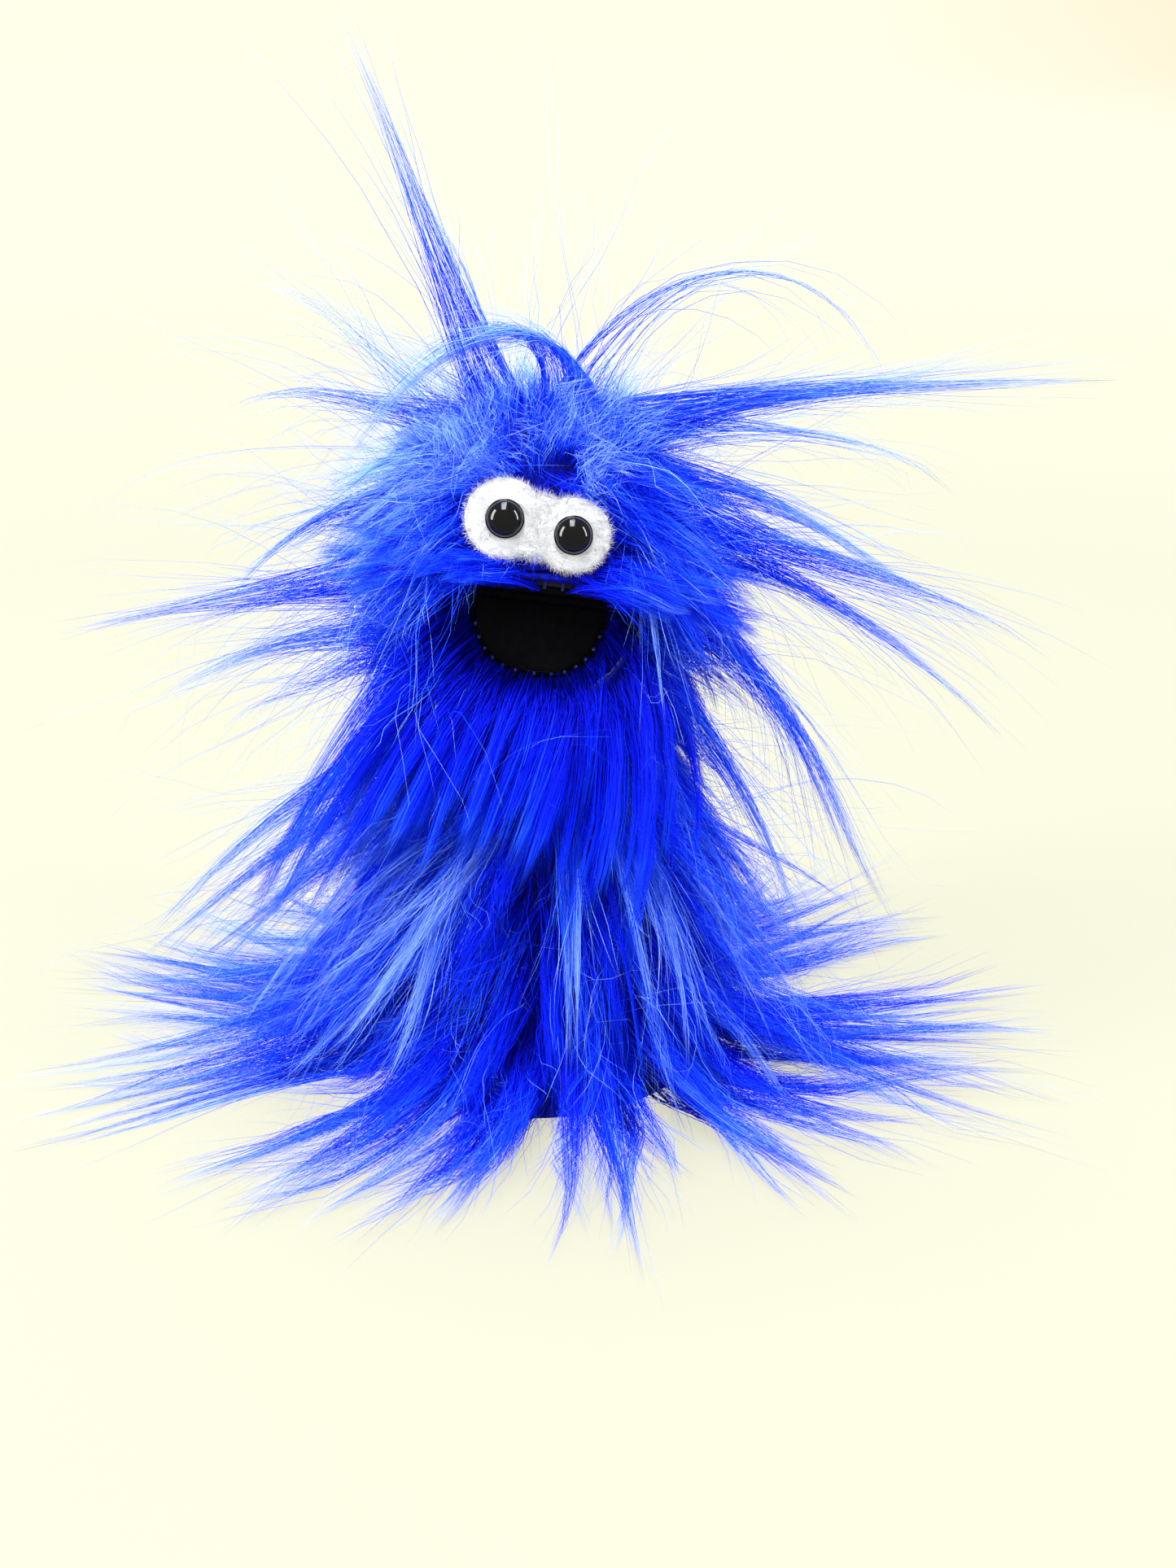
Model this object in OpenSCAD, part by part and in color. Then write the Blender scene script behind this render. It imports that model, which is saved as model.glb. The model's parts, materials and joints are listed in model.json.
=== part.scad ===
// Small hand puppet in long-pile fur, with a mouth that the hand opens and shuts.
// The puppet faces -Y and stands on its hem, with the sleeve's axis on Z.
// Left and right are as seen from the front, so left is -X.

/* [Sleeve] */
// Outer radius of the sleeve at the hem
hem_r = 46; // [42:1:52]
// Outer radius of the cloth at the neck
neck_r = 32; // [30:1:34]
// Height of the sleeve, up to the neck
sleeve_h = 105; // [95:1:115]
// Thickness of the fur's backing cloth
cloth_t = 1.5; // [1:0.1:2]
// Height of the hem that is turned up inside
hem_h = 12; // [8:1:16]
// Inner radius of the turned hem, where the hand goes in
hand_r = 41; // [38:1:42]

/* [Head] */
// Height of the soft neck between sleeve and head
neck_h = 12; // [10:1:14]
// Widest outer radius of the head's cloth
head_r = 34; // [33:1:36]
// Height above the floor where the dome of the head begins
dome_z = 150; // [148:1:152]
// Height above the floor of the top of the head's cloth
crown_z = 190; // [186:1:194]
// Bottom of the stuffing that rounds the crown
stuffing_z = 176; // [175:1:178]
// How far the face sits off the sleeve's axis
face_x = 1.6; // [0:0.2:3]

/* [Mouth] */
// Distance of the mouth's fold in front of the axis
fold_y = 13; // [12:0.5:14]
// Height of the mouth's fold
fold_z = 142; // [140:1:144]
// Half the width of the mouth
mouth_hw = 17; // [15:0.5:18]
// Length of each palate, from the fold to the lip
palate_l = 20; // [17:0.5:21]
// How far the mouth leans down to the right
mouth_roll = 7; // [0:1:9]
// Angle of the upper palate above level
upper_pitch = 20; // [15:1:25]
// Angle of the lower palate below level, as it hangs
lower_pitch = 65; // [60:1:70]
// Thickness of each mouth board
board_t = 1.5; // [1:0.1:2]
// Thickness of the black felt on the palates
felt_t = 1; // [0.8:0.1:1.2]
// Radius of the felt roll along the fold
fold_r = 1.2; // [1:0.1:1.3]
// Width of the elastic finger straps
strap_w = 9; // [7:1:10]
// Inner radius of a finger strap's arch
strap_r = 8.8; // [8:0.2:9.4]
// Height of a strap's straight sides
strap_leg = 3; // [2:0.5:3]

/* [Eyes] */
// Diameter of an eye's dome
eye_d = 10; // [8:0.5:12]
// Height of an eye's dome
eye_h = 4; // [3:0.5:4.5]
// Distance between the two eyes
eye_gap = 17.9; // [16:0.1:20]
// Height of the point between the eyes
eye_z = 166; // [165:0.5:167]
// How far the eyes lean down to the right
eye_roll = 14; // [0:1:18]
// Radius of the felt lobe round the left eye
lobe_left_r = 10.2; // [9.5:0.1:10.5]
// Radius of the felt lobe round the right eye
lobe_right_r = 9.6; // [9.5:0.1:10.5]
// Thickness of the white felt
patch_t = 2; // [1.5:0.1:2.5]
// Radius of an eye's locking washer
washer_r = 6; // [5:0.5:6.5]

/* [Fur] */
// Reach of the fur skirt from the axis
skirt_r = 150; // [140:1:155]
// Height of the fur skirt against the sleeve
skirt_h = 34; // [30:1:38]
// Depth of the dense fur round the head
head_fur = 12; // [10:0.5:13]
// Radius of the fuzzy tuft on the crown
topknot_r = 15; // [12:0.5:17]
// Height of the tallest lock's tip
lock_tip_z = 290; // [270:5:300]

/* [Hidden] */
$fn = 96;

touch = 0.15;            // room between pieces of one body
body_gap = 0.4;          // room between pieces that move apart
dome_h = crown_z - dome_z;
neck_z0 = sleeve_h + body_gap;
head_z0 = sleeve_h + neck_h + body_gap;
pile_z0 = head_z0 + 3;   // bottom of the head's fur, clear of the sleeve's fur when nodding
eye_pitch = 14;          // the eyes look up a little
patch_y = -31.8;         // back of the eye patch
post_r = 2;
post_l = 10;             // reach of an eye's post behind the patch
washer_y = 8.2;          // front of the washer behind the patch
washer_t = 1.5;
fold_gap = 0.6;          // each palate's distance from the fold's plane
palate_start = 1.6;      // the palates begin clear of the fold's felt roll
strap_start = 5;         // the straps' distance from the fold
stitch_r = 0.4;
seam_w = 4;
seam_d = 3;
fur_blue = [0.10, 0.24, 0.93];
pale_blue = [0.38, 0.52, 0.98];

// Outer radius of the sleeve's cloth at height z
function sleeve_r(z) = hem_r - (hem_r - neck_r) * z / sleeve_h;

// Half profile of the head's cloth, grown by g
function head_side(g) = concat(
  [[neck_r + g, head_z0]],
  [for (t = [0:10:90]) [(head_r + g) * cos(t), dome_z + (dome_h + g) * sin(t)]]
);

// Half profile of the head's fur, as a closed outline from the axis, grown by g
function head_fur_side(g) = [
  [neck_r + head_fur - 1 + g, pile_z0],
  [head_r + head_fur - 1 + g, pile_z0 + 15],
  [head_r + head_fur + g, dome_z],
  [head_r + head_fur - 2.5 + g, dome_z + 16],
  [head_r + 2 + g, dome_z + 30],
  [head_r - 12 + g, crown_z + 0.5 + g],
  [0, crown_z + 3.5 + g]
];

// Half profile of the sleeve's fur, outside only, grown by g
function sleeve_fur_side(g) = [
  [60 + g, skirt_h + touch], [54 + g, 52], [48 + g, 72], [44 + g, 84]
];

// Points of a half oval with full corners, hw wide each way and l long, towards -Y
function half_oval(hw, l) = [
  for (t = [0:10:180])
    [hw * sign(cos(t)) * pow(abs(cos(t)), 0.8), -l * pow(max(sin(t), 0), 0.8)]
];

function reversed(list) = [for (i = [len(list) - 1:-1:0]) list[i]];

// The mouth's own frame: X along the fold, -Y towards the lips
module mouth_frame() translate([face_x, -fold_y, fold_z]) rotate([0, mouth_roll, 0]) children();
module upper_frame() mouth_frame() rotate([-upper_pitch, 0, 0]) children();
module lower_frame() mouth_frame() rotate([lower_pitch, 0, 0]) children();

// The eyes' own frame: X from eye to eye, -Y out of the face
module eye_frame(side = 0)
  translate([face_x, patch_y, eye_z]) rotate([-eye_pitch, eye_roll, 0])
    translate([side * eye_gap / 2, 0, 0]) children();

// A round bar along Y, from y0 to y1
module bar_y(r, y0, y1) translate([0, y0, 0]) rotate([-90, 0, 0]) cylinder(h = y1 - y0, r = r);

// A tapered lock of fur from a to b
module lock(a, b, r1, r2 = 0.8) {
  d = b - a;
  translate(a) rotate([0, acos(d[2] / norm(d)), atan2(d[1], d[0])])
    cylinder(h = norm(d), r1 = r1, r2 = r2, $fn = 32);
}

// The space inside the fur of the head, or of the sleeve
module head_fur_body(g) rotate_extrude() polygon(concat([[0, pile_z0]], head_fur_side(g)));
module sleeve_fur_body(g)
  rotate_extrude() polygon(concat([[0, skirt_h]], sleeve_fur_side(g), [[0, 84]]));

// A plate in the shape of a palate, from z0 up by t
module palate(hw, l, z0, t)
  translate([0, 0, z0]) linear_extrude(t) intersection() {
    polygon(half_oval(hw, l));
    translate([-hw - 1, -l - 1]) square([2 * hw + 2, l + 1 - palate_start]);
  }

// A band round the palate's edge, from grow0 to grow1 outside it
module lip_band(grow0, grow1, z0, t)
  difference() {
    palate(mouth_hw + grow1, palate_l + grow1, z0, t);
    translate([0, 0, z0 - 1]) linear_extrude(t + 2)
      polygon(concat(half_oval(mouth_hw + grow0, palate_l + grow0), [[0, 9]]));
  }

// An elastic arch that stands on z = 0
module strap()
  translate([0, -strap_start, 0]) rotate([90, 0, 0]) linear_extrude(strap_w) difference() {
    union() {
      translate([0, strap_leg]) circle(strap_r + 1.2);
      translate([-strap_r - 1.2, 0]) square([2 * strap_r + 2.4, strap_leg]);
    }
    translate([0, strap_leg]) circle(strap_r);
    translate([-strap_r, -1]) square([2 * strap_r, strap_leg + 1]);
    translate([-20, -20]) square([40, 20]);
  }

// Stitches that run round the palate's edge, from z0 up by l
module lip_stitches(z0, l)
  for (p = [for (t = [20:11.6:160]) t])
    translate([
      (mouth_hw + 0.65) * sign(cos(p)) * pow(abs(cos(p)), 0.8),
      -(palate_l + 0.65) * pow(sin(p), 0.8),
      z0
    ]) cylinder(h = l, r = stitch_r, $fn = 16);

module eye_lobes(g) {
  translate([-eye_gap / 2, 0]) circle(lobe_left_r + g);
  translate([eye_gap / 2, 0]) circle(lobe_right_r + g);
}

// --- Sleeve ---
module sleeve_cloth() color("navy") rotate_extrude() polygon([
  [hem_r - cloth_t, 0], [hem_r, 0], [neck_r, sleeve_h], [neck_r - cloth_t, sleeve_h]
]);

module hem_band() color("midnightblue") rotate_extrude() polygon([
  [hand_r, 0], [hem_r - cloth_t - touch, 0],
  [sleeve_r(hem_h) - cloth_t - touch, hem_h], [hand_r, hem_h]
]);

module hem_stitches() color("lightsteelblue")
  for (a = [0:10:350]) rotate([0, 0, a])
    translate([sleeve_r(hem_h + 4) - cloth_t - stitch_r - touch, 0, hem_h + touch])
      cylinder(h = 3.8, r = stitch_r, $fn = 16);

module back_seam() color("midnightblue")
  translate([seam_w / 2, 0, 0]) rotate([90, 0, -90]) linear_extrude(seam_w) polygon([
    for (c = [[0, 18], [seam_d, 18], [seam_d, sleeve_h - 1], [0, sleeve_h - 1]])
      [-(sleeve_r(c[1]) - cloth_t - 0.3 - c[0]), c[1]]
  ]);

module skirt_pile() color(fur_blue) rotate_extrude() polygon([
  [sleeve_r(0) + touch, 0], [skirt_r, 0], [skirt_r, 3], [skirt_r - 40, 14],
  [84, 25], [60, skirt_h], [sleeve_r(skirt_h) + touch, skirt_h]
]);

module sleeve_pile() color(fur_blue) rotate_extrude() polygon(concat(
  [[sleeve_r(skirt_h) + touch, skirt_h + touch]], sleeve_fur_side(0), [[sleeve_r(84) + touch, 84]]
));

module flank_locks(side) color(pale_blue) difference() {
  union() {
    lock([side * 40, -4, 78], [side * 116, -6, 34], 6);
    lock([side * 42, 22, 62], [side * 96, 44, 30], 5);
    lock([side * 38, -26, 60], [side * 90, -58, 31], 5);
  }
  sleeve_fur_body(touch);
}
module flank_locks_left() flank_locks(-1);
module flank_locks_right() flank_locks(1);

// --- Neck ---
module neck_cloth() color("navy") rotate_extrude() polygon([
  [neck_r - cloth_t, neck_z0], [neck_r, neck_z0],
  [neck_r, head_z0 - body_gap], [neck_r - cloth_t, head_z0 - body_gap]
]);

module neck_pile() color(fur_blue) rotate_extrude() polygon([
  [neck_r + touch, neck_z0], [neck_r + 8, neck_z0 - 6], [neck_r + 10, neck_z0],
  [neck_r + 10, head_z0 - body_gap], [neck_r + touch, head_z0 - body_gap]
]);

// --- Head ---
module mouth_window(hw, top) mouth_frame()
  translate([-hw, -60, -60]) cube([2 * hw, 65, 60 + top]);

module head_cloth() color("navy") difference() {
  rotate_extrude() polygon(concat(
    head_side(0), reversed(head_side(-cloth_t))
  ));
  mouth_window(26, 11);
  for (s = [-1, 1]) eye_frame(s) bar_y(post_r + 0.1, -20, 12);
}

module head_seam() color("midnightblue")
  translate([seam_w / 2, 0, 0]) rotate([90, 0, -90]) linear_extrude(seam_w) polygon([
    [-(neck_r - cloth_t - 0.3), head_z0 + 1], [-(neck_r - cloth_t - 0.3 - seam_d), head_z0 + 1],
    [-(head_r - cloth_t - 0.3 - seam_d), dome_z], [-(head_r - cloth_t - 0.3), dome_z]
  ]);

module crown_stuffing() color("white") intersection() {
  rotate_extrude() polygon(concat(
    [[0, head_z0]], head_side(-cloth_t - 0.3)
  ));
  translate([0, 0, stuffing_z]) cylinder(h = 60, r = head_r);
}

module eye_patch() color("white") eye_frame() difference() {
  rotate([90, 0, 0]) linear_extrude(patch_t) eye_lobes(0);
  for (s = [-1, 1]) translate([s * eye_gap / 2, 0, 0]) bar_y(post_r + 0.1, -9, 9);
}

module eye(side) color("black") eye_frame(side) {
  ball_r = (pow(eye_d / 2, 2) + pow(eye_h, 2)) / (2 * eye_h);
  base_y = -patch_t - 0.1;
  intersection() {
    translate([0, base_y - eye_h + ball_r, 0]) sphere(ball_r);
    translate([-eye_d, base_y - 2 * eye_h, -eye_d]) cube([2 * eye_d, 2 * eye_h, 2 * eye_d]);
  }
  bar_y(post_r, base_y - 0.5, post_l);
}
module eye_left() eye(-1);
module eye_right() eye(1);

module eye_washer(side) color("gainsboro") eye_frame(side) difference() {
  bar_y(washer_r, washer_y, washer_y + washer_t);
  bar_y(post_r + 0.1, washer_y - 1, washer_y + washer_t + 1);
}
module eye_washer_left() eye_washer(-1);
module eye_washer_right() eye_washer(1);

module upper_mouth_board() color("dimgray") upper_frame()
  palate(mouth_hw, palate_l, fold_gap + felt_t + 0.1, board_t);

module upper_palate_felt() color("black") upper_frame()
  palate(mouth_hw, palate_l, fold_gap, felt_t);

module mouth_fold() color("black") mouth_frame()
  translate([-mouth_hw, 0, 0]) rotate([0, 90, 0]) cylinder(h = 2 * mouth_hw, r = fold_r);

module finger_strap() color("gray") upper_frame()
  translate([0, 0, fold_gap + felt_t + board_t + 0.2]) strap();

module upper_lip_stitches() color("darkblue") upper_frame()
  lip_stitches(fold_gap + 0.2, 2.4);

module head_pile() color(fur_blue) difference() {
  rotate_extrude() polygon(concat(
    head_fur_side(0), reversed(head_side(touch)), [[neck_r + touch + 0.2, pile_z0]]
  ));
  translate([0, 0, head_z0 - 10]) cylinder(h = pile_z0 - head_z0 + 10, r = 80);
  mouth_window(28, 12);
  eye_frame() rotate([90, 0, 0]) translate([0, 0, -6]) linear_extrude(40) eye_lobes(1);
}

module topknot_ball(g) translate([7, 0, crown_z + 2]) sphere(topknot_r + g);

module topknot_pile() color(pale_blue) difference() {
  topknot_ball(0);
  head_fur_body(touch);
}

module crown_lock() color(pale_blue) difference() {
  lock([4, -1, crown_z + 6], [-48, 0, lock_tip_z], 5.5);
  topknot_ball(touch);
}

// The arch rises out of the topknot and comes down to the left, in front of the tall lock
module arch_lock() color(pale_blue) difference() {
  translate([-18, -12, 175]) rotate([90, 0, 0]) rotate([0, 0, 35]) rotate_extrude(angle = 155)
    translate([38, 0]) circle(3, $fn = 32);
  topknot_ball(touch);
}

module head_locks_left() color(pale_blue) difference() {
  union() {
    lock([-14, 0, 181], [-84, -3, 190], 5);
    lock([-10, 22, 184], [-76, 24, 222], 4);
    lock([-30, -6, 165], [-90, -12, 143], 6);
    lock([-34, 6, 150], [-131, 4, 128], 7);
  }
  head_fur_body(touch);
}

module head_locks_right() color(pale_blue) difference() {
  union() {
    lock([24, 0, 182], [149, 2, 197], 6);
    lock([32, -4, 166], [142, -8, 124], 7);
    lock([32, 14, 154], [128, 18, 114], 6);
  }
  head_fur_body(touch);
}

// --- Jaw ---
module lower_mouth_board() color("dimgray") lower_frame()
  palate(mouth_hw, palate_l, -fold_gap - felt_t - 0.1 - board_t, board_t);

module lower_palate_felt() color("black") lower_frame()
  palate(mouth_hw, palate_l, -fold_gap - felt_t, felt_t);

module thumb_strap() color("gray") lower_frame()
  mirror([0, 0, 1]) translate([0, 0, fold_gap + felt_t + board_t + 0.2]) strap();

module chin_cloth() color("navy") lower_frame()
  lip_band(1.3, 2.8, -9.2, 8.2);

module chin_pile() color(fur_blue) lower_frame()
  lip_band(2.95, 8, -10.2, 9);

module lower_lip_stitches() color("darkblue") lower_frame()
  lip_stitches(-fold_gap - 2.6, 2.4);

sleeve_cloth();
hem_band();
hem_stitches();
back_seam();
skirt_pile();
sleeve_pile();
flank_locks_left();
flank_locks_right();
neck_cloth();
neck_pile();
head_cloth();
head_seam();
crown_stuffing();
eye_patch();
eye_left();
eye_right();
eye_washer_left();
eye_washer_right();
upper_mouth_board();
upper_palate_felt();
mouth_fold();
finger_strap();
upper_lip_stitches();
head_pile();
topknot_pile();
crown_lock();
arch_lock();
head_locks_left();
head_locks_right();
lower_mouth_board();
lower_palate_felt();
thumb_strap();
chin_cloth();
chin_pile();
lower_lip_stitches();
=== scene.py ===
"""Looks of a small long-fur hand puppet with a moving mouth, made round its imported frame."""
import json
import logging
import math
from dataclasses import dataclass, field
from enum import Enum
from typing import Callable, Iterable

import bmesh
import bpy
import numpy as np
from mathutils import Matrix, Vector, noise


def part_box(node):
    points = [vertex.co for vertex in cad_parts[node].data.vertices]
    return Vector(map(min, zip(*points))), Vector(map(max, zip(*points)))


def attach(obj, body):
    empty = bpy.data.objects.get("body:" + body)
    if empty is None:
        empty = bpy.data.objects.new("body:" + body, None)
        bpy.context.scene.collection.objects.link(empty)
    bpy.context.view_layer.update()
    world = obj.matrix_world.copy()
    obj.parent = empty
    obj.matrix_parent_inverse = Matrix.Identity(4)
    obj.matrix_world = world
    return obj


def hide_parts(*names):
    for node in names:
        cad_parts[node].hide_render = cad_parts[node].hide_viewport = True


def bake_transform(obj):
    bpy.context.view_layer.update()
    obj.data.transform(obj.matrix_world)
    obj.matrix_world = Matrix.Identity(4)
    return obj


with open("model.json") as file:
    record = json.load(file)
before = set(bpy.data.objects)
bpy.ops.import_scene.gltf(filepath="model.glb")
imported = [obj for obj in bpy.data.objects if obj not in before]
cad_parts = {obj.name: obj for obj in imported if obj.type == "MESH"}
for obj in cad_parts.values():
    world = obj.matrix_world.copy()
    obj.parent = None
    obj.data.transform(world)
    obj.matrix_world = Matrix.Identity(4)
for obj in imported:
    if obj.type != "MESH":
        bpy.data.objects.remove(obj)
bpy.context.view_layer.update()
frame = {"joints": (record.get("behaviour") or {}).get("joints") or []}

LOG = logging.getLogger("puppet")
MM = 0.001
SEED = 20
DOWN = np.array((0.0, 0.0, -1.0))
FLOOR_GAP = 0.25 * MM


# --- Shader expressions ---------------------------------------------------------------------


class Value:
    """A shader socket on which sums are written as Python expressions."""

    def __init__(self, shader: "Shader", socket: bpy.types.NodeSocket) -> None:
        """Wraps a socket.

        Args:
            shader: The material that the socket belongs to.
            socket: The output that this value stands for.
        """
        self.shader = shader
        self.socket = socket

    def _math(self, operation: str, a: object, b: object) -> "Value":
        """Adds one Math node and returns its result."""
        return self.shader.node("ShaderNodeMath", {"operation": operation}, {0: a, 1: b})

    def __add__(self, other: object) -> "Value":
        """Adds a number or another value."""
        return self._math("ADD", self, other)

    def __sub__(self, other: object) -> "Value":
        """Takes away a number or another value."""
        return self._math("SUBTRACT", self, other)

    def __mul__(self, other: object) -> "Value":
        """Multiplies by a number or another value."""
        return self._math("MULTIPLY", self, other)

    __radd__ = __add__
    __rmul__ = __mul__


class Shader:
    """One material under construction."""

    def __init__(self, name: str) -> None:
        """Starts a material with an empty tree and a Principled surface.

        Args:
            name: The material's name.
        """
        self.material = bpy.data.materials.new(name)
        self.material.use_nodes = True
        self.tree = self.material.node_tree
        self.tree.nodes.clear()
        self.surface = self.tree.nodes.new("ShaderNodeBsdfPrincipled")
        output = self.tree.nodes.new("ShaderNodeOutputMaterial")
        self.tree.links.new(self.surface.outputs[0], output.inputs["Surface"])

    def node(self, kind: str, settings: dict, inputs: dict, output: int | str = 0) -> Value:
        """Adds a node.

        Args:
            kind: The node's type.
            settings: Its own settings, which are set first; stops are a ramp's.
            inputs: Numbers, colours or values for its sockets.
            output: Which output to return.

        Returns:
            The chosen output as a value.
        """
        made = self.tree.nodes.new(kind)
        for key, setting in settings.items():
            if key == "stops":
                self._set_stops(made.color_ramp, setting)
            else:
                setattr(made, key, setting)
        for key, given in inputs.items():
            self._feed(made.inputs[key], given)
        return Value(self, made.outputs[output])

    def _set_stops(self, ramp: bpy.types.ColorRamp, stops: list) -> None:
        """Gives a ramp its stops, each a position and a colour."""
        while len(ramp.elements) < len(stops):
            ramp.elements.new(0.5)
        for element, (position, colour) in zip(ramp.elements, stops):
            element.position = position
            element.color = (*colour, 1.0)

    def _feed(self, socket: bpy.types.NodeSocket, given: object) -> None:
        """Sets a socket to a number or links a value to it."""
        if isinstance(given, Value):
            self.tree.links.new(given.socket, socket)
        else:
            socket.default_value = given

    def place(self) -> Value:
        """The point's own place on the object."""
        return self.node("ShaderNodeTexCoord", {}, {}, "Object")

    def noise(self, scale: float, detail: float = 2.0, vector: Value | None = None) -> Value:
        """Soft noise from 0 to 1.

        Args:
            scale: Its fineness, per metre.
            detail: How many finer layers it has.
            vector: Where to read it, or None for the object's own place.

        Returns:
            The noise as a value.
        """
        where = vector or self.place()
        return self.node("ShaderNodeTexNoise", {}, {"Vector": where, "Scale": scale, "Detail": detail})

    def attribute(self, name: str) -> Value:
        """A number that is stored on the mesh."""
        return self.node("ShaderNodeAttribute", {"attribute_name": name}, {}, "Fac")

    def ramp(self, value: Value, stops: list) -> Value:
        """A colour that follows a value.

        Args:
            value: What the colour follows.
            stops: Positions and colours.

        Returns:
            The colour.
        """
        return self.node("ShaderNodeValToRGB", {"stops": stops}, {"Fac": value})

    def bump(self, height: Value, strength: float, distance: float) -> Value:
        """A bumped normal.

        Args:
            height: The relief.
            strength: How strongly it shows.
            distance: Its depth in metres.

        Returns:
            The normal.
        """
        inputs = {"Height": height, "Strength": strength, "Distance": distance}
        return self.node("ShaderNodeBump", {}, inputs, "Normal")

    def finish(self, **sockets: object) -> bpy.types.Material:
        """Feeds the surface's sockets, named with underscores for spaces.

        Args:
            **sockets: Numbers, colours or values.

        Returns:
            The finished material.
        """
        for name, given in sockets.items():
            self._feed(self.surface.inputs[name.replace("_", " ").title().replace("Ior", "IOR")], given)
        return self.material


# --- Finishes -------------------------------------------------------------------------------


@dataclass(frozen=True)
class FurFinish:
    """Acrylic pile. Its darker roots are painted shade deep in the pile, and its paler tips are painted light
    shining through the fibres.
    """

    name: str = "long_fur"
    # root is painted shade down in the pile and pale is painted light shining through the tips; deep, blue
    # and light lie between them.
    root: tuple = (0.0, 0.0005, 0.10)
    deep: tuple = (0.0003, 0.002, 0.50)
    blue: tuple = (0.001, 0.015, 1.0)
    light: tuple = (0.014, 0.112, 1.0)
    pale: tuple = (0.30, 0.50, 1.0)
    roughness: float = 0.55

    def build(self) -> bpy.types.Material:
        """Makes the material."""
        s = Shader(self.name)
        # Painted light and shade: the colour runs from shade at the root to light at the tip. The tint adds
        # each strand's own tone and its region's painted light and shade.
        shade = s.attribute("along") * 0.58 + s.attribute("tint") * 0.75
        patches = s.noise(38.0) - 0.5
        colour = s.ramp(shade + patches * 0.18, [
            (0.0, self.root), (0.16, self.deep), (0.42, self.blue), (0.72, self.light), (1.0, self.pale),
        ])
        return s.finish(
            base_color=colour, roughness=self.roughness + 0.12 * patches,
            specular_ior_level=0.06,
        )


@dataclass(frozen=True)
class FleeceFinish:
    """The dense short fur next to the cloth, seen between the long strands."""

    name: str = "fleece"
    dark: tuple = (0.0, 0.0005, 0.04)
    blue: tuple = (0.0, 0.004, 0.34)
    fineness: float = 700.0

    def build(self) -> bpy.types.Material:
        """Makes the material."""
        s = Shader(self.name)
        stretched = s.node("ShaderNodeMapping", {}, {"Vector": s.place(), "Scale": (1, 1, 0.12)})
        hairs = s.noise(self.fineness, 3.0, stretched)
        shade = hairs * 0.7 + s.noise(45.0) * 0.3
        colour = s.ramp(shade, [(0.32, self.dark), (0.68, self.blue)])
        return s.finish(base_color=colour, roughness=0.8 + 0.1 * hairs,
                        normal=s.bump(hairs, 0.8, 0.0015), specular_ior_level=0.1)


@dataclass(frozen=True)
class ClothFinish:
    """Knitted backing cloth."""

    name: str
    dark: tuple
    light: tuple
    loops: float = 900.0

    def build(self) -> bpy.types.Material:
        """Makes the material."""
        s = Shader(self.name)
        place = s.place()
        rows = s.node("ShaderNodeTexWave", {"bands_direction": "Z"}, {
            "Vector": place, "Scale": self.loops / 3, "Distortion": 2.0, "Detail": 1.0,
        }, "Fac")
        loops = s.node("ShaderNodeTexVoronoi", {}, {"Vector": place, "Scale": self.loops}, "Distance")
        shade = rows * 0.4 + loops * 0.5 + s.noise(60.0) * 0.3
        colour = s.ramp(shade, [(0.1, self.dark), (0.9, self.light)])
        normal = s.bump(rows * 0.5 + loops, 0.6, 0.0004)
        return s.finish(base_color=colour, roughness=0.88 + 0.08 * loops, normal=normal, sheen_weight=0.2)


@dataclass(frozen=True)
class FeltFinish:
    """Pressed felt with matted fibres."""

    name: str
    dark: tuple
    light: tuple
    relief: float = 0.0003

    def build(self) -> bpy.types.Material:
        """Makes the material."""
        s = Shader(self.name)
        coarse = s.noise(420.0, 3.0)
        fine = s.noise(2600.0, 4.0)
        matted = coarse * 0.55 + fine * 0.45
        colour = s.ramp(matted, [(0.3, self.dark), (0.66, self.light)])
        normal = s.bump(matted, 0.75, self.relief)
        return s.finish(base_color=colour, roughness=0.93 + 0.06 * fine, normal=normal,
                        specular_ior_level=0.08)


@dataclass(frozen=True)
class PlasticFinish:
    """Moulded plastic, polished or plain."""

    name: str
    colour: tuple
    roughness: float
    coat: float = 0.0
    shine: float = 0.5

    def build(self) -> bpy.types.Material:
        """Makes the material."""
        s = Shader(self.name)
        cloud = s.noise(300.0)
        darker = tuple(c * 0.8 for c in self.colour)
        colour = s.ramp(cloud, [(0.3, darker), (0.7, self.colour)])
        return s.finish(base_color=colour, roughness=self.roughness + 0.04 * cloud,
                        coat_weight=self.coat, coat_roughness=0.03, specular_ior_level=self.shine)


@dataclass(frozen=True)
class BoardFinish:
    """Stiff pressed sheet with a speckled face, drawn near black rather than its grey as painted shade in the
    mouth.
    """

    name: str = "mouth_board"
    # Painted shade: the sheet is drawn near black rather than grey, so that its edge reads as the dark inside
    # of the mouth.
    dark: tuple = (0.008, 0.008, 0.009)
    light: tuple = (0.020, 0.020, 0.022)

    def build(self) -> bpy.types.Material:
        """Makes the material."""
        s = Shader(self.name)
        speckle = s.noise(1500.0, 3.0)
        colour = s.ramp(speckle, [(0.35, self.dark), (0.65, self.light)])
        return s.finish(base_color=colour, roughness=0.6 + 0.15 * speckle,
                        normal=s.bump(speckle, 0.3, 0.0001))


@dataclass(frozen=True)
class RibbedFinish:
    """Woven elastic or twisted thread, with fine ribs."""

    name: str
    dark: tuple
    light: tuple
    ribs: float

    def build(self) -> bpy.types.Material:
        """Makes the material."""
        s = Shader(self.name)
        ribs = s.node("ShaderNodeTexWave", {"bands_direction": "X"}, {
            "Vector": s.place(), "Scale": self.ribs, "Distortion": 0.6,
        }, "Fac")
        shade = ribs * 0.7 + s.noise(900.0) * 0.3
        colour = s.ramp(shade, [(0.1, self.dark), (0.9, self.light)])
        return s.finish(base_color=colour, roughness=0.75 + 0.1 * ribs,
                        normal=s.bump(ribs, 0.5, 0.0002), sheen_weight=0.1)


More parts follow.
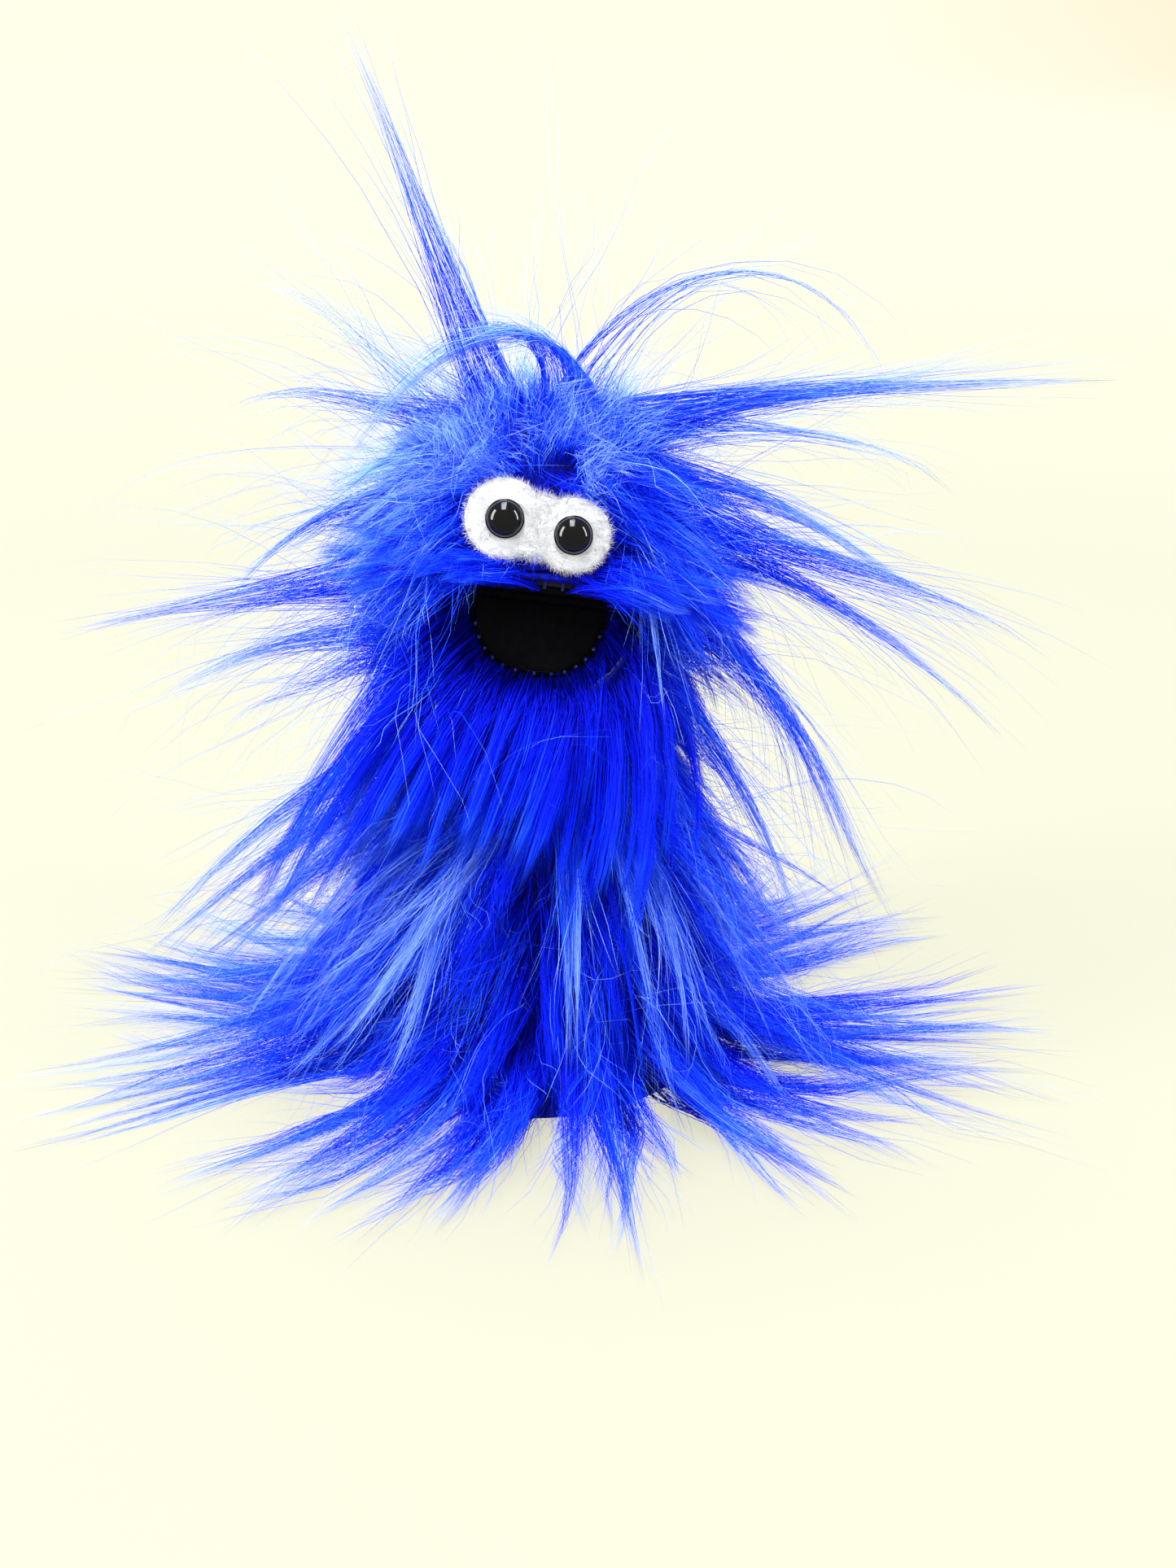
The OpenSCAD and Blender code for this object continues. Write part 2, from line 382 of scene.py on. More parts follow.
@dataclass(frozen=True)
class TableFinish:
    """The plain pale floor, with painted light falloff that turns it warmer and dimmer to the right, and its
    own even glow away from the puppet.
    """

    name: str = "pale_floor"
    plain: tuple = (0.090, 0.0895, 0.0715)
    warm: tuple = (0.090, 0.076, 0.057)
    glow: float = 10.9

    def build(self) -> bpy.types.Material:
        """Makes the material."""
        s = Shader(self.name)
        place = s.place()
        # Painted light falloff: the floor turns warmer and dimmer towards the right.
        slope = s.node("ShaderNodeVectorMath", {"operation": "DOT_PRODUCT"},
                       {0: place, 1: (0.30, 0.01, 0.0)}, "Value")
        colour = s.ramp(slope + 0.05 * s.noise(3.0), [(0.45, self.plain), (0.95, self.warm)])
        away = s.node("ShaderNodeVectorMath", {"operation": "LENGTH"}, {0: place}, "Value")
        dim = s.ramp(away * 0.5, [(share, (level, level, level)) for share, level in (
            (0.0, 0.65), (0.3, 0.75), (0.5, 0.87), (1.0, 1.0))])
        glow = s.node("ShaderNodeMix", {"data_type": "RGBA", "blend_type": "MULTIPLY"},
                      {0: 1.0, 6: colour, 7: dim}, 2)
        return s.finish(base_color=colour, roughness=0.85, specular_ior_level=0.05,
                        emission_color=glow, emission_strength=self.glow)


# --- The cloth form that the fur grows on ---------------------------------------------------


@dataclass
class ClothForm:
    """The round cloth body, as radius and height, read from the frame."""

    hem_r: float
    neck_r: float
    head_r: float
    sleeve_h: float
    dome_z: float
    crown_z: float

    @classmethod
    def measured(cls) -> "ClothForm":
        """Reads the form's sizes from the frame's cloth nodes."""
        sleeve, neck, head = (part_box(n)[1] for n in ("sleeve_cloth", "neck_cloth", "head_cloth"))
        return cls(hem_r=sleeve.x, neck_r=neck.x, head_r=head.x, sleeve_h=sleeve.z,
                   dome_z=head.z - 40 * MM, crown_z=head.z)

    def radius(self, z: np.ndarray) -> np.ndarray:
        """The cloth's outer radius at each height.

        Args:
            z: Heights in metres.

        Returns:
            Radii in metres, 0 above the crown.
        """
        up = np.clip((z - self.dome_z) / (self.crown_z - self.dome_z), 0, 1)
        side = np.interp(z, (0, self.sleeve_h, self.dome_z), (self.hem_r, self.neck_r, self.head_r))
        return np.where(z > self.dome_z, self.head_r * np.sqrt(1 - up**2), side)

    def point(self, azimuth: np.ndarray, z: np.ndarray) -> np.ndarray:
        """Points on the cloth.

        Args:
            azimuth: Angles in radians, 0 at the front and growing to the right.
            z: Heights in metres.

        Returns:
            One point for each pair.
        """
        r = self.radius(z)
        return np.stack((r * np.sin(azimuth), -r * np.cos(azimuth), z), -1)

    def normal(self, azimuth: np.ndarray, z: np.ndarray) -> np.ndarray:
        """Outward normals of the cloth.

        Args:
            azimuth: Angles in radians.
            z: Heights in metres.

        Returns:
            One unit vector for each pair.
        """
        step = 0.4 * MM
        slope = (self.radius(z + step) - self.radius(z - step)) / (2 * step)
        slope = np.clip(slope, -6, 6)
        out = np.stack((np.sin(azimuth), -np.cos(azimuth), -slope), -1)
        return out / np.linalg.norm(out, axis=-1, keepdims=True)

    def push_out(self, p: np.ndarray, gap: np.ndarray | float) -> np.ndarray:
        """Moves points that are inside the form, or under the floor, out to it.

        Args:
            p: Points.
            gap: How far off the cloth each has to be.

        Returns:
            The moved points.
        """
        p = p.copy()
        gap = np.broadcast_to(gap, p.shape[:-1])
        r = np.hypot(p[..., 0], p[..., 1]) + 1e-9
        want = self.radius(np.clip(p[..., 2], 0, self.dome_z)) + gap
        low = (p[..., 2] <= self.dome_z) & (r < want)
        grow = np.where(low, want / r, 1.0)
        p[..., :2] *= grow[..., None]
        rise = np.maximum(p[..., 2] - self.dome_z, 0)
        size = np.hypot(r / (self.head_r + gap), rise / (self.crown_z - self.dome_z + gap))
        high = (p[..., 2] > self.dome_z) & (size < 1)
        grow = np.where(high, 1 / np.maximum(size, 1e-6), 1.0)
        p[..., :2] *= grow[..., None]
        p[..., 2] = np.where(high, self.dome_z + rise * grow, p[..., 2])
        p[..., 2] = np.maximum(p[..., 2], FLOOR_GAP)
        return p

    def scatter(self, rng: np.random.Generator, count: int, z0: float, z1: float,
                azimuths: tuple = (-180, 180)) -> tuple[np.ndarray, np.ndarray]:
        """Spreads places evenly over a band of the cloth.

        Args:
            rng: The random source.
            count: How many places.
            z0: The band's bottom in metres.
            z1: Its top.
            azimuths: Its first and last angle in degrees.

        Returns:
            Azimuths in radians and heights in metres.
        """
        z = np.linspace(z0, z1, 200)
        r = self.radius(z)
        ring = np.hypot(np.diff(z), np.diff(r)) * (r[1:] + r[:-1]) / 2
        share = np.concatenate(((0.0,), np.cumsum(ring) / ring.sum()))
        heights = np.interp(rng.random(count), share, z)
        return np.radians(rng.uniform(*azimuths, count)), heights


# --- The face's own frames ------------------------------------------------------------------


@dataclass
class FaceFrames:
    """Where the mouth and the eyes are, as the frame's joint and nodes say."""

    upper_pitch: float = -20.0
    lower_pitch: float = 65.0
    eye_pitch: float = -14.0
    eye_roll: float = 14.0
    mouth_roll: float = 7.0
    half_width: float = 17 * MM
    palate: float = 20 * MM
    start: float = 1.6 * MM
    eye_gap: float = 17.9 * MM
    lobes: tuple = (10.2 * MM, 9.6 * MM)
    patch_at: tuple = (1.6 * MM, -31.8 * MM, 166 * MM)
    window_side: float = 75.0
    window_top: float = 13 * MM
    window_bottom: float = 24 * MM
    # Gaps in the fur, as x, z, half width and half height: the dark fleece shows through them as painted
    # shadow above the patch and between the patch and the mouth.
    shadow_gaps: tuple = (
        (7.5 * MM, 180.5 * MM, 4.0 * MM, 2.2 * MM), (6.0 * MM, 152.5 * MM, 4.8 * MM, 4.0 * MM),
    )
    chin_side: float = 58.0
    chin_r: float = 29.8 * MM
    chin_z: float = 115 * MM
    chin_stretch: float = 6 * MM
    lip_rim: float = 1.6 * MM
    lip_depth: float = 2.6 * MM

    def fold(self) -> Matrix:
        """The frame on the mouth's fold, with X along it and -Y towards the lips."""
        hinge = next(j for j in frame["joints"] if j["name"] == "mouth_hinge")
        return Matrix.Translation(hinge["pos_m"]) @ Matrix.Rotation(math.radians(self.mouth_roll), 4, "Y")

    def upper(self) -> Matrix:
        """The upper palate's frame."""
        return self.fold() @ Matrix.Rotation(math.radians(self.upper_pitch), 4, "X")

    def lower(self) -> Matrix:
        """The lower palate's frame."""
        return self.fold() @ Matrix.Rotation(math.radians(self.lower_pitch), 4, "X")

    def eyes(self, side: float = 0.0) -> Matrix:
        """The eye patch's frame, or an eye's, with -Y out of the face.

        Args:
            side: -1 for the left eye, 1 for the right one, 0 between them.

        Returns:
            The frame as a matrix.
        """
        turn = Matrix.Rotation(math.radians(self.eye_roll), 4, "Y")
        pitch = Matrix.Rotation(math.radians(self.eye_pitch), 4, "X")
        shift = Matrix.Translation((side * self.eye_gap / 2, 0, 0))
        return Matrix.Translation(self.patch_at) @ turn @ pitch @ shift

    def local(self, matrix: Matrix, p: np.ndarray) -> np.ndarray:
        """Points as seen in one of these frames."""
        back = np.array(matrix.inverted())
        return p @ back[:3, :3].T + back[:3, 3]

    def outline(self, angle: float, grow: float = 0.0) -> tuple:
        """A point on a palate's edge, in its own frame.

        Args:
            angle: 0 at the fold's right end, half a turn at its left end.
            grow: How far outside the edge, in metres.

        Returns:
            Its x and y.
        """
        c, s = math.cos(angle), max(math.sin(angle), 0.0)
        x = signed_power(c, 0.8) * (self.half_width + grow)
        return x, -self.start - s**0.8 * (self.palate - self.start + grow)

    def chin(self, u: float, v: float) -> Vector:
        """A point on the chin's skin, which rolls over from the lower lip and falls inside the neck.

        Args:
            u: 0 at the mouth's right corner, 1 at its left one.
            v: 0 at the lip, 1 at the skin's lower edge.

        Returns:
            The point.
        """
        x, y = self.outline(math.pi * u, self.lip_rim)
        lip = self.lower() @ Vector((x, y, -self.lip_depth))
        turn = math.radians((1 - 2 * u) * self.chin_side)
        foot = Vector((self.chin_r * math.sin(turn), -self.chin_r * math.cos(turn), self.chin_z))
        roll = Vector((foot.x, foot.y, lip.z + 0.5 * MM))
        return (1 - v)**2 * lip + 2 * v * (1 - v) * roll + v**2 * foot

    def follow_jaw(self, piece: bpy.types.Object) -> None:
        """Bakes a piece of the chin into its place; nothing makes it stretch with the jaw."""
        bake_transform(piece)

    def hides_face(self, p: np.ndarray) -> np.ndarray:
        """Says which strands lie over the eye patch, in front of the mouth or in a gap left as painted
        shadow.

        Args:
            p: Points of strands, strand by strand.

        Returns:
            True for each strand that does.
        """
        between = [p[:, :-1] * (1 - t) + p[:, 1:] * t for t in (0.25, 0.5, 0.75)]
        p = np.concatenate((p, *between), 1)
        eye = self.local(self.eyes(), p)
        near = (eye[..., 1] < 2 * MM) & (eye[..., 1] > -40 * MM)
        hit = near & (np.abs(eye[..., 0]) < 8 * MM) & (np.abs(eye[..., 2]) < 6.5 * MM)
        for side, lobe in zip((-1, 1), self.lobes):
            off = np.hypot(eye[..., 0] - side * self.eye_gap / 2, eye[..., 2])
            hit |= near & (off < lobe - 0.3 * MM)
        jaw = self.local(self.lower(), p)
        above = self.local(self.upper(), p)
        across = np.abs(jaw[..., 0]) / self.half_width
        ahead = np.clip(-jaw[..., 1] / self.palate, 0, None)
        oval = (across**3 + ahead**3 < 1.0) & (jaw[..., 1] < 14 * MM)
        hit |= oval & (jaw[..., 2] > -3 * MM) & (jaw[..., 2] < 70 * MM) & (above[..., 2] < -0.3 * MM)
        # Fur is left out of the shadow gaps so that the dark fleece shows there as painted shadow.
        for x, z, wide, tall in self.shadow_gaps:
            gap = ((p[..., 0] - x) / wide)**2 + ((p[..., 2] - z) / tall)**2 < 1
            hit |= gap & (p[..., 1] < -20 * MM) & (p[..., 1] > -48 * MM)
        return hit.any(-1)

    def in_window(self, azimuth: np.ndarray, z: np.ndarray, margin: float) -> np.ndarray:
        """Says which places of the head lie in the mouth's window.

        Args:
            azimuth: Angles in radians.
            z: Heights in metres.
            margin: How far the window is widened, in metres.

        Returns:
            True for each such place.
        """
        turn = np.degrees(azimuth) / self.window_side
        arch = np.cos(np.clip(turn, -1, 1) * math.pi / 2)
        rise = z - self.fold().translation.z
        inside = (rise > -self.window_bottom * arch - margin) & (rise < self.window_top * arch + margin)
        return inside & (np.abs(turn) < 1)


# --- Strands --------------------------------------------------------------------------------


@dataclass
class Strands:
    """A batch of fibres with one number of points each."""

    points: np.ndarray
    width: np.ndarray
    tint: np.ndarray

    def kept(self, which: np.ndarray) -> "Strands":
        """The strands that a mask picks."""
        return Strands(self.points[which], self.width[which], self.tint[which])

    def joined(self, other: "Strands") -> "Strands":
        """These strands and another batch with as many points each."""
        pairs = ((self.points, other.points), (self.width, other.width), (self.tint, other.tint))
        return Strands(*(np.concatenate(pair) for pair in pairs))


class FibreShape:
    """One fibre: a three-sided tube that tapers to a point, made once and repeated."""

    def __init__(self, steps: int) -> None:
        """Makes the pattern fibre.

        Args:
            steps: How many stretches the fibre bends in.
        """
        bm = bmesh.new()
        bmesh.ops.create_cone(bm, cap_ends=True, segments=3, radius1=1, radius2=1, depth=1,
                              matrix=Matrix.Translation((0, 0, 0.5)))
        for k in range(1, steps):
            geometry = bm.verts[:] + bm.edges[:] + bm.faces[:]
            bmesh.ops.bisect_plane(bm, geom=geometry, plane_co=(0, 0, k / steps), plane_no=(0, 0, 1))
        top = [v for v in bm.verts if v.co.z > 1 - 0.5 / steps]
        bmesh.ops.pointmerge(bm, verts=top, merge_co=(0, 0, 1))
        bm.verts.index_update()
        co = np.array([v.co[:] for v in bm.verts])
        self.ring = np.rint(co[:, 2] * steps).astype(int)
        self.corner = np.where(self.ring[:, None] < steps, co[:, :2], 0.0)
        self.loops = np.array([v.index for f in bm.faces for v in f.verts])
        self.sizes = np.array([len(f.verts) for f in bm.faces])
        self.triangles = int((self.sizes - 2).sum())
        bm.free()

    def mesh(self, name: str, strands: Strands, rng: np.random.Generator) -> bpy.types.Object:
        """Repeats the fibre along each strand, as one mesh.

        Args:
            name: The piece's name.
            strands: The centre lines, widths and tints.
            rng: The random source for how each fibre is turned.

        Returns:
            The piece.
        """
        p, count = strands.points, len(strands.points)
        along = np.gradient(p, axis=1)
        along /= np.linalg.norm(along, axis=-1, keepdims=True) + 1e-12
        turn = rng.normal(size=(count, 1, 3))
        side = turn - (turn * along).sum(-1, keepdims=True) * along
        side /= np.linalg.norm(side, axis=-1, keepdims=True) + 1e-12
        other = np.cross(along, side)
        t = np.linspace(0, 1, p.shape[1])
        taper = 1.0 - 0.78 * t**1.2
        thick = strands.width[:, None] * taper[None, :]
        ring, corner = self.ring, self.corner
        offset = corner[:, :1] * side[:, ring] + corner[:, 1:] * other[:, ring]
        co = p[:, ring] + thick[:, ring, None] * offset
        made = bpy.data.meshes.new(name)
        made.vertices.add(co.shape[0] * co.shape[1])
        made.vertices.foreach_set("co", co.astype(np.float32).ravel())
        first = np.arange(count)[:, None]
        loops = (self.loops[None, :] + first * co.shape[1]).ravel()
        starts = np.concatenate(((0,), np.cumsum(self.sizes)[:-1]))
        made.loops.add(len(loops))
        made.loops.foreach_set("vertex_index", loops.astype(np.int32))
        made.polygons.add(count * len(starts))
        first_loops = (starts[None, :] + first * len(self.loops)).ravel()
        made.polygons.foreach_set("loop_start", first_loops.astype(np.int32))
        made.polygons.foreach_set("use_smooth", np.ones(count * len(starts), bool))
        made.update(calc_edges=True)
        self._store(made, "along", np.broadcast_to(t[ring], (count, len(ring))))
        self._store(made, "tint", np.broadcast_to(strands.tint[:, None], (count, len(ring))))
        piece = bpy.data.objects.new(name, made)
        bpy.context.scene.collection.objects.link(piece)
        return piece

    def _store(self, made: bpy.types.Mesh, name: str, numbers: np.ndarray) -> None:
        """Keeps a number on each of the mesh's points."""
        attribute = made.attributes.new(name, "FLOAT", "POINT")
        attribute.data.foreach_set("value", numbers.astype(np.float32).ravel())


def curve(root: np.ndarray, a: np.ndarray, b: np.ndarray, tip: np.ndarray, t: np.ndarray) -> np.ndarray:
    """Points of a cubic curve.

    Args:
        root: Its start.
        a: The handle that it leaves its start towards.
        b: The handle that it reaches its end from.
        tip: Its end.
        t: Where to read it, from 0 to 1.

    Returns:
        The points.
    """
    return (1 - t)**3 * root + 3 * (1 - t)**2 * t * a + 3 * (1 - t) * t**2 * b + t**3 * tip


@dataclass
class Lock:
    """A listed bundle of fibres, in millimetres and degrees, from the cloth to its tip."""

    azimuth: float
    height: float
    tip: tuple
    launch: float
    land: float
    fibres: int = 110
    spread: float = 6.5
    bow: float = 0.36
    wave: float = 1.2
    pale: float = 0.1

    def line(self, form: ClothForm, t: np.ndarray) -> np.ndarray:
        """The bundle's middle line.

        Args:
            form: The cloth that it grows from.
            t: Where to read it, from 0 to 1.

        Returns:
            One point for each t.
        """
        root = form.point(np.radians(self.azimuth), np.array(self.height * MM))
        tip = np.array(self.tip) * MM
        span = tip - root
        reach = np.linalg.norm(span)
        level = span * (1, 1, 0) / (np.linalg.norm(span[:2]) + 1e-9)

        def heading(angle: float) -> np.ndarray:
            """A heading in the lock's own upright plane."""
            return level * math.cos(math.radians(angle)) - DOWN * math.sin(math.radians(angle))

        a = root + heading(self.launch) * reach * self.bow
        b = tip - heading(self.land) * reach * self.bow
        return curve(root, a, b, tip, t[:, None])


GUIDE_POINTS = 25


@dataclass
class Groomer:
    """Grows fur on the cloth form, bundle by bundle."""

    form: ClothForm
    face: FaceFrames
    rng: np.random.Generator
    room: tuple = (167 * MM, 165 * MM, 300 * MM)

    def bundle(self, guides: np.ndarray, azimuth: np.ndarray, height: np.ndarray, count: int,
               spread: np.ndarray | float, steps: int, wave: np.ndarray | float = 1.2,
               pale: np.ndarray | float = 0.0, width: float = 0.15, pinch: float = 0.8,
               loose: float = 0.07, short: float = 0.66, gather: float = 1.0,
               stray: float = 9.0) -> Strands:
        """Fills bundles round their middle lines with fibres.

        Args:
            guides: Middle lines, one row of points for each bundle.
            azimuth: Each bundle's root angle in radians.
            height: Each bundle's root height in metres.
            count: Fibres in each bundle.
            spread: Radius of the roots' patch in millimetres.
            steps: Stretches in each fibre.
            wave: Size of the bundle's waves in millimetres.
            pale: How much paler than usual it is; the callers put painted light and shade into it, as well as
                each bundle's own tone.
            width: A fibre's thickness at the root, in millimetres.
            pinch: How far the fibres draw together, from 0 to 1.
            loose: Share of the fibres that stray.
            short: The shortest fibre's share of the full length.
            gather: How early the fibres draw together.
            stray: How far the straying fibres go, in millimetres.

        Returns:
            The strands that don't cover the face.
        """
        rng, bundles = self.rng, len(guides)
        shape = (bundles, count)
        wide = np.broadcast_to(spread, (bundles,))[:, None] * MM
        angle = rng.uniform(0, 2 * math.pi, shape)
        off = wide * np.sqrt(rng.random(shape))
        r = self.form.radius(height)[:, None] + 6 * MM
        roots_a = azimuth[:, None] + off * np.cos(angle) / r
        roots_z = np.clip(height[:, None] + off * np.sin(angle), 0.5 * MM, self.form.crown_z - 0.1 * MM)
        roots = self.form.point(roots_a, roots_z)
        t = np.linspace(0, 1, steps + 1)
        length = rng.uniform(short, 1.0, shape)
        at = t * length[..., None] * (GUIDE_POINTS - 1)
        low = np.minimum(at.astype(int), GUIDE_POINTS - 2)
        part = (at - low)[..., None]
        row = np.arange(bundles)[:, None, None]
        middle = guides[row, low] * (1 - part) + guides[row, low + 1] * part
        gather = gather * rng.uniform(0.7, 1.3, shape)[..., None]
        keep = (1 - pinch) * rng.uniform(0.3, 1.8, shape)[..., None]
        shrink = (1 - t)**gather * (1 - keep) + keep
        offset = (roots - guides[:, :1])[:, :, None] * shrink[..., None]
        p = middle + offset
        p = p + self.waves(p.shape, t, np.broadcast_to(wave, (bundles,)))
        strays = rng.random(shape) < loose
        drift = rng.normal(size=(*shape, 1, 3)) * stray * MM * strays[..., None, None]
        p = p + drift * (t**2)[:, None]
        p = p.reshape(-1, steps + 1, 3)
        gap = (0.2 + 0.8 * t) * MM
        p[:, 1:] = self.form.push_out(p[:, 1:], gap[1:])
        tint = (0.27 + np.broadcast_to(pale, (bundles,))[:, None]
                + rng.normal(0, 0.10, (bundles, 1)) + rng.normal(0, 0.14, shape)).ravel()
        thick = width * MM * rng.uniform(0.7, 1.25, len(p))
        made = Strands(p, thick, np.clip(tint, 0, 1))
        rootless = self.face.in_window(roots_a.ravel(), roots_z.ravel(), 0.0)
        in_room = (np.abs(p) < self.room).all((1, 2))
        return made.kept(~self.face.hides_face(p[:, 1:]) & in_room & ~rootless)

    def waves(self, shape: tuple, t: np.ndarray, wave: np.ndarray, frizz: float = 0.38) -> np.ndarray:
        """Waves that a whole bundle shares, and the small frizz of each fibre.

        Args:
            shape: The shape of the fibres' points: bundles, fibres, points and three.
            t: Each point's share of the fibre's length.
            wave: Size of each bundle's waves in millimetres.
            frizz: Size of a fibre's own waves in millimetres.

        Returns:
            How far each point moves.
        """
        rng = self.rng
        bundles, count = shape[:2]
        swing = rng.normal(size=(bundles, 1, 1, 3)) * wave[:, None, None, None] * MM
        turns = rng.uniform(0.8, 2.0, (bundles, 1, 1))
        phase = rng.uniform(0, 2 * math.pi, (bundles, 1, 1))
        common = np.sin(2 * math.pi * turns * t + phase)[..., None] * swing * t[:, None]
        curl = rng.normal(size=(bundles, count, 1, 3)) * frizz * MM
        phase = rng.uniform(0, 2 * math.pi, (bundles, count, 1))
        own = np.sin(2 * math.pi * rng.uniform(1, 3, (bundles, count, 1)) * t + phase)
        return common + own[..., None] * curl * np.sqrt(t)[:, None]

    def locks(self, locks: Iterable[Lock], steps: int = 8) -> Strands:
        """Makes the listed locks.

        Args:
            locks: The locks.
            steps: Stretches in each fibre.

        Returns:
            The strands of all of them.
        """
        made = None
        t = np.linspace(0, 1, GUIDE_POINTS)
        for lock in locks:
            guide = lock.line(self.form, t)[None]
            azimuth, height = np.radians([lock.azimuth]), np.array([lock.height * MM])
            one = self.bundle(guide, azimuth, height, lock.fibres, lock.spread, steps,
                              wave=lock.wave, pale=lock.pale + 0.08, pinch=0.88, width=0.10,
                              loose=0.4, short=0.35, gather=1.8, stray=8.0)
            made = one if made is None else made.joined(one)
        return made

    def grow(self, azimuth: np.ndarray, height: np.ndarray, start: np.ndarray, length: np.ndarray,
             droop: np.ndarray, lift: np.ndarray) -> np.ndarray:
        """Grows middle lines that fall under their own weight and stay off the cloth.

        Args:
            azimuth: Root angles in radians.
            height: Root heights in metres.
            start: First headings.
            length: Lengths in metres.
            droop: How strongly each turns down.
            lift: How far off the cloth each tip stays, in metres.

        Returns:
            The middle lines.
        """
        p = self.form.point(azimuth, height)
        d = start / np.linalg.norm(start, axis=-1, keepdims=True)
        step = (length / (GUIDE_POINTS - 1))[:, None]
        line = [p]
        for k in range(1, GUIDE_POINTS):
            t = k / (GUIDE_POINTS - 1)
            d = d + DOWN * (droop[:, None] / GUIDE_POINTS) * (0.4 + 1.2 * t)
            d /= np.linalg.norm(d, axis=-1, keepdims=True)
            q = self.form.push_out(p + d * step, lift * min(1.0, 2.2 * t))
            d = (q - p) / (np.linalg.norm(q - p, axis=-1, keepdims=True) + 1e-9)
            p = p + d * step
            p[:, 2] = np.maximum(p[:, 2], FLOOR_GAP)
            line.append(p)
        return np.stack(line, 1)

    def combed(self, azimuth: np.ndarray, height: np.ndarray, out: np.ndarray | float,
               side: np.ndarray | float, down: np.ndarray | float, mess: float = 0.22) -> np.ndarray:
        """First headings as a comb would leave them.

        Args:
            azimuth: Root angles in radians.
            height: Root heights in metres.
            out: How much they stand off the cloth.
            side: How much they lie to the right of straight down.
            down: How much they lie down the cloth.
            mess: How uneven they are.

        Returns:
            One heading for each root.
        """
        normal = self.form.normal(azimuth, height)
        right = np.stack((np.cos(azimuth), np.sin(azimuth), 0 * azimuth), -1)
        fall = np.cross(right, normal)
        fall = fall * np.where(fall[:, 2:] > 0, -1.0, 1.0)

        def column(x: np.ndarray | float) -> np.ndarray:
            """One row for each root."""
            return np.broadcast_to(x, azimuth.shape)[:, None]

        heading = column(out) * normal + column(side) * right + column(down) * fall
        return heading + self.rng.normal(size=heading.shape) * mess


HERO_HEAD = (
    Lock(-60, 189, (-48, 0, 289), 62, 64, fibres=90, spread=5, wave=0.6, pale=0.05),
    Lock(-70, 189, (-37, 4, 262), 70, 60, fibres=40, spread=6, pale=0.3),
    Lock(85, 187, (-57, -10, 164), 86, -66, fibres=190, spread=5, bow=0.62, wave=0.6, pale=0.3),
    Lock(-80, 186, (-84, -2, 190), 12, -22, fibres=90, spread=6, wave=1.0, pale=0.15),
    Lock(-95, 185, (-76, 8, 223), 30, 12, fibres=40, spread=8, pale=0.3),
    Lock(-78, 168, (-82, -8, 141), 4, -52, fibres=90, spread=8, pale=0.15),
    Lock(-62, 164, (-62, -24, 146), -2, -45, fibres=70, spread=8, pale=0.1),
    Lock(-82, 146, (-131, -8, 129), -10, -16, fibres=150, spread=11, wave=1.6, pale=0.1),
    Lock(-74, 133, (-108, -12, 111), -2, -32, fibres=130, spread=10, pale=0.15),
    Lock(-66, 128, (-86, -18, 104), -8, -36, fibres=90, spread=9, pale=0.2),
    Lock(82, 187, (157, 0, 197), 10, -1, fibres=150, spread=8, wave=1.0, pale=0.08),
    Lock(76, 184, (122, 6, 201), 12, 4, fibres=70, spread=9, pale=0.25),
    Lock(95, 189, (98, 5, 182), 64, -78, fibres=34, spread=6, bow=0.62, wave=0.5, pale=0.3),
    Lock(84, 183, (116, 2, 165), 6, -38, fibres=70, spread=7, pale=0.25),
    Lock(84, 174, (113, 4, 132), -6, -40, fibres=120, spread=9, pale=0.15),
    Lock(72, 165, (143, -8, 123), -12, -24, fibres=170, spread=11, wave=1.5, pale=0.1),
    Lock(76, 158, (133, -8, 95), -14, -48, fibres=110, spread=9, pale=0.15),
    Lock(60, 176, (35, -40, 112), -52, -78, fibres=60, spread=3, wave=1.2, pale=0.25),
    Lock(62, 160, (54, -20, 126), -30, -78, fibres=70, spread=7, wave=2.5, pale=0.3),
    Lock(76, 142, (107, -8, 41), -30, -54, fibres=150, spread=10, wave=1.6, pale=0.05),
    Lock(88, 138, (92, 4, 52), -25, -66, fibres=100, spread=9, pale=0.1),
    Lock(64, 126, (79, -12, 29), -48, -72, fibres=130, spread=9, pale=0.05),
)

HERO_SLEEVE = (
    Lock(-72, 98, (-115, -14, 39), -14, -44, fibres=130, spread=10, pale=0.15),
    Lock(-64, 90, (-118, -20, 33), -16, -38, fibres=120, spread=9, pale=0.15),
    Lock(-78, 76, (-104, -6, 26), -20, -34, fibres=110, spread=9, pale=0.1),
    Lock(-52, 100, (-76, -38, 58), -20, -42, fibres=100, spread=9, pale=0.2),
    Lock(-4, 102, (-46, -54, 40), -66, -40, fibres=150, spread=7, wave=2.0, pale=0.3),
    Lock(-14, 92, (-60, -56, 26), -50, -34, fibres=120, spread=8, wave=1.8, pale=0.2),
    Lock(14, 100, (9, -58, 16), -66, -84, fibres=110, spread=7, wave=1.6, pale=0.25),
    Lock(46, 98, (42, -50, 12), -60, -84, fibres=120, spread=8, wave=1.4, pale=0.25),
    Lock(62, 100, (70, -16, 36), -50, -70, fibres=100, spread=9, pale=0.1),
    Lock(-24, 84, (-44, -62, 10), -52, -55, fibres=110, spread=8, wave=1.8, pale=0.25),
)


class Region(Enum):
    """Which body a stretch of fur belongs to: sleeve and head fur hang from their body, and neck and jaw fur
    stay fixed in place.
    """

    SLEEVE = "sleeve"
    NECK = "neck"
    HEAD = "head"
    JAW = "jaw"


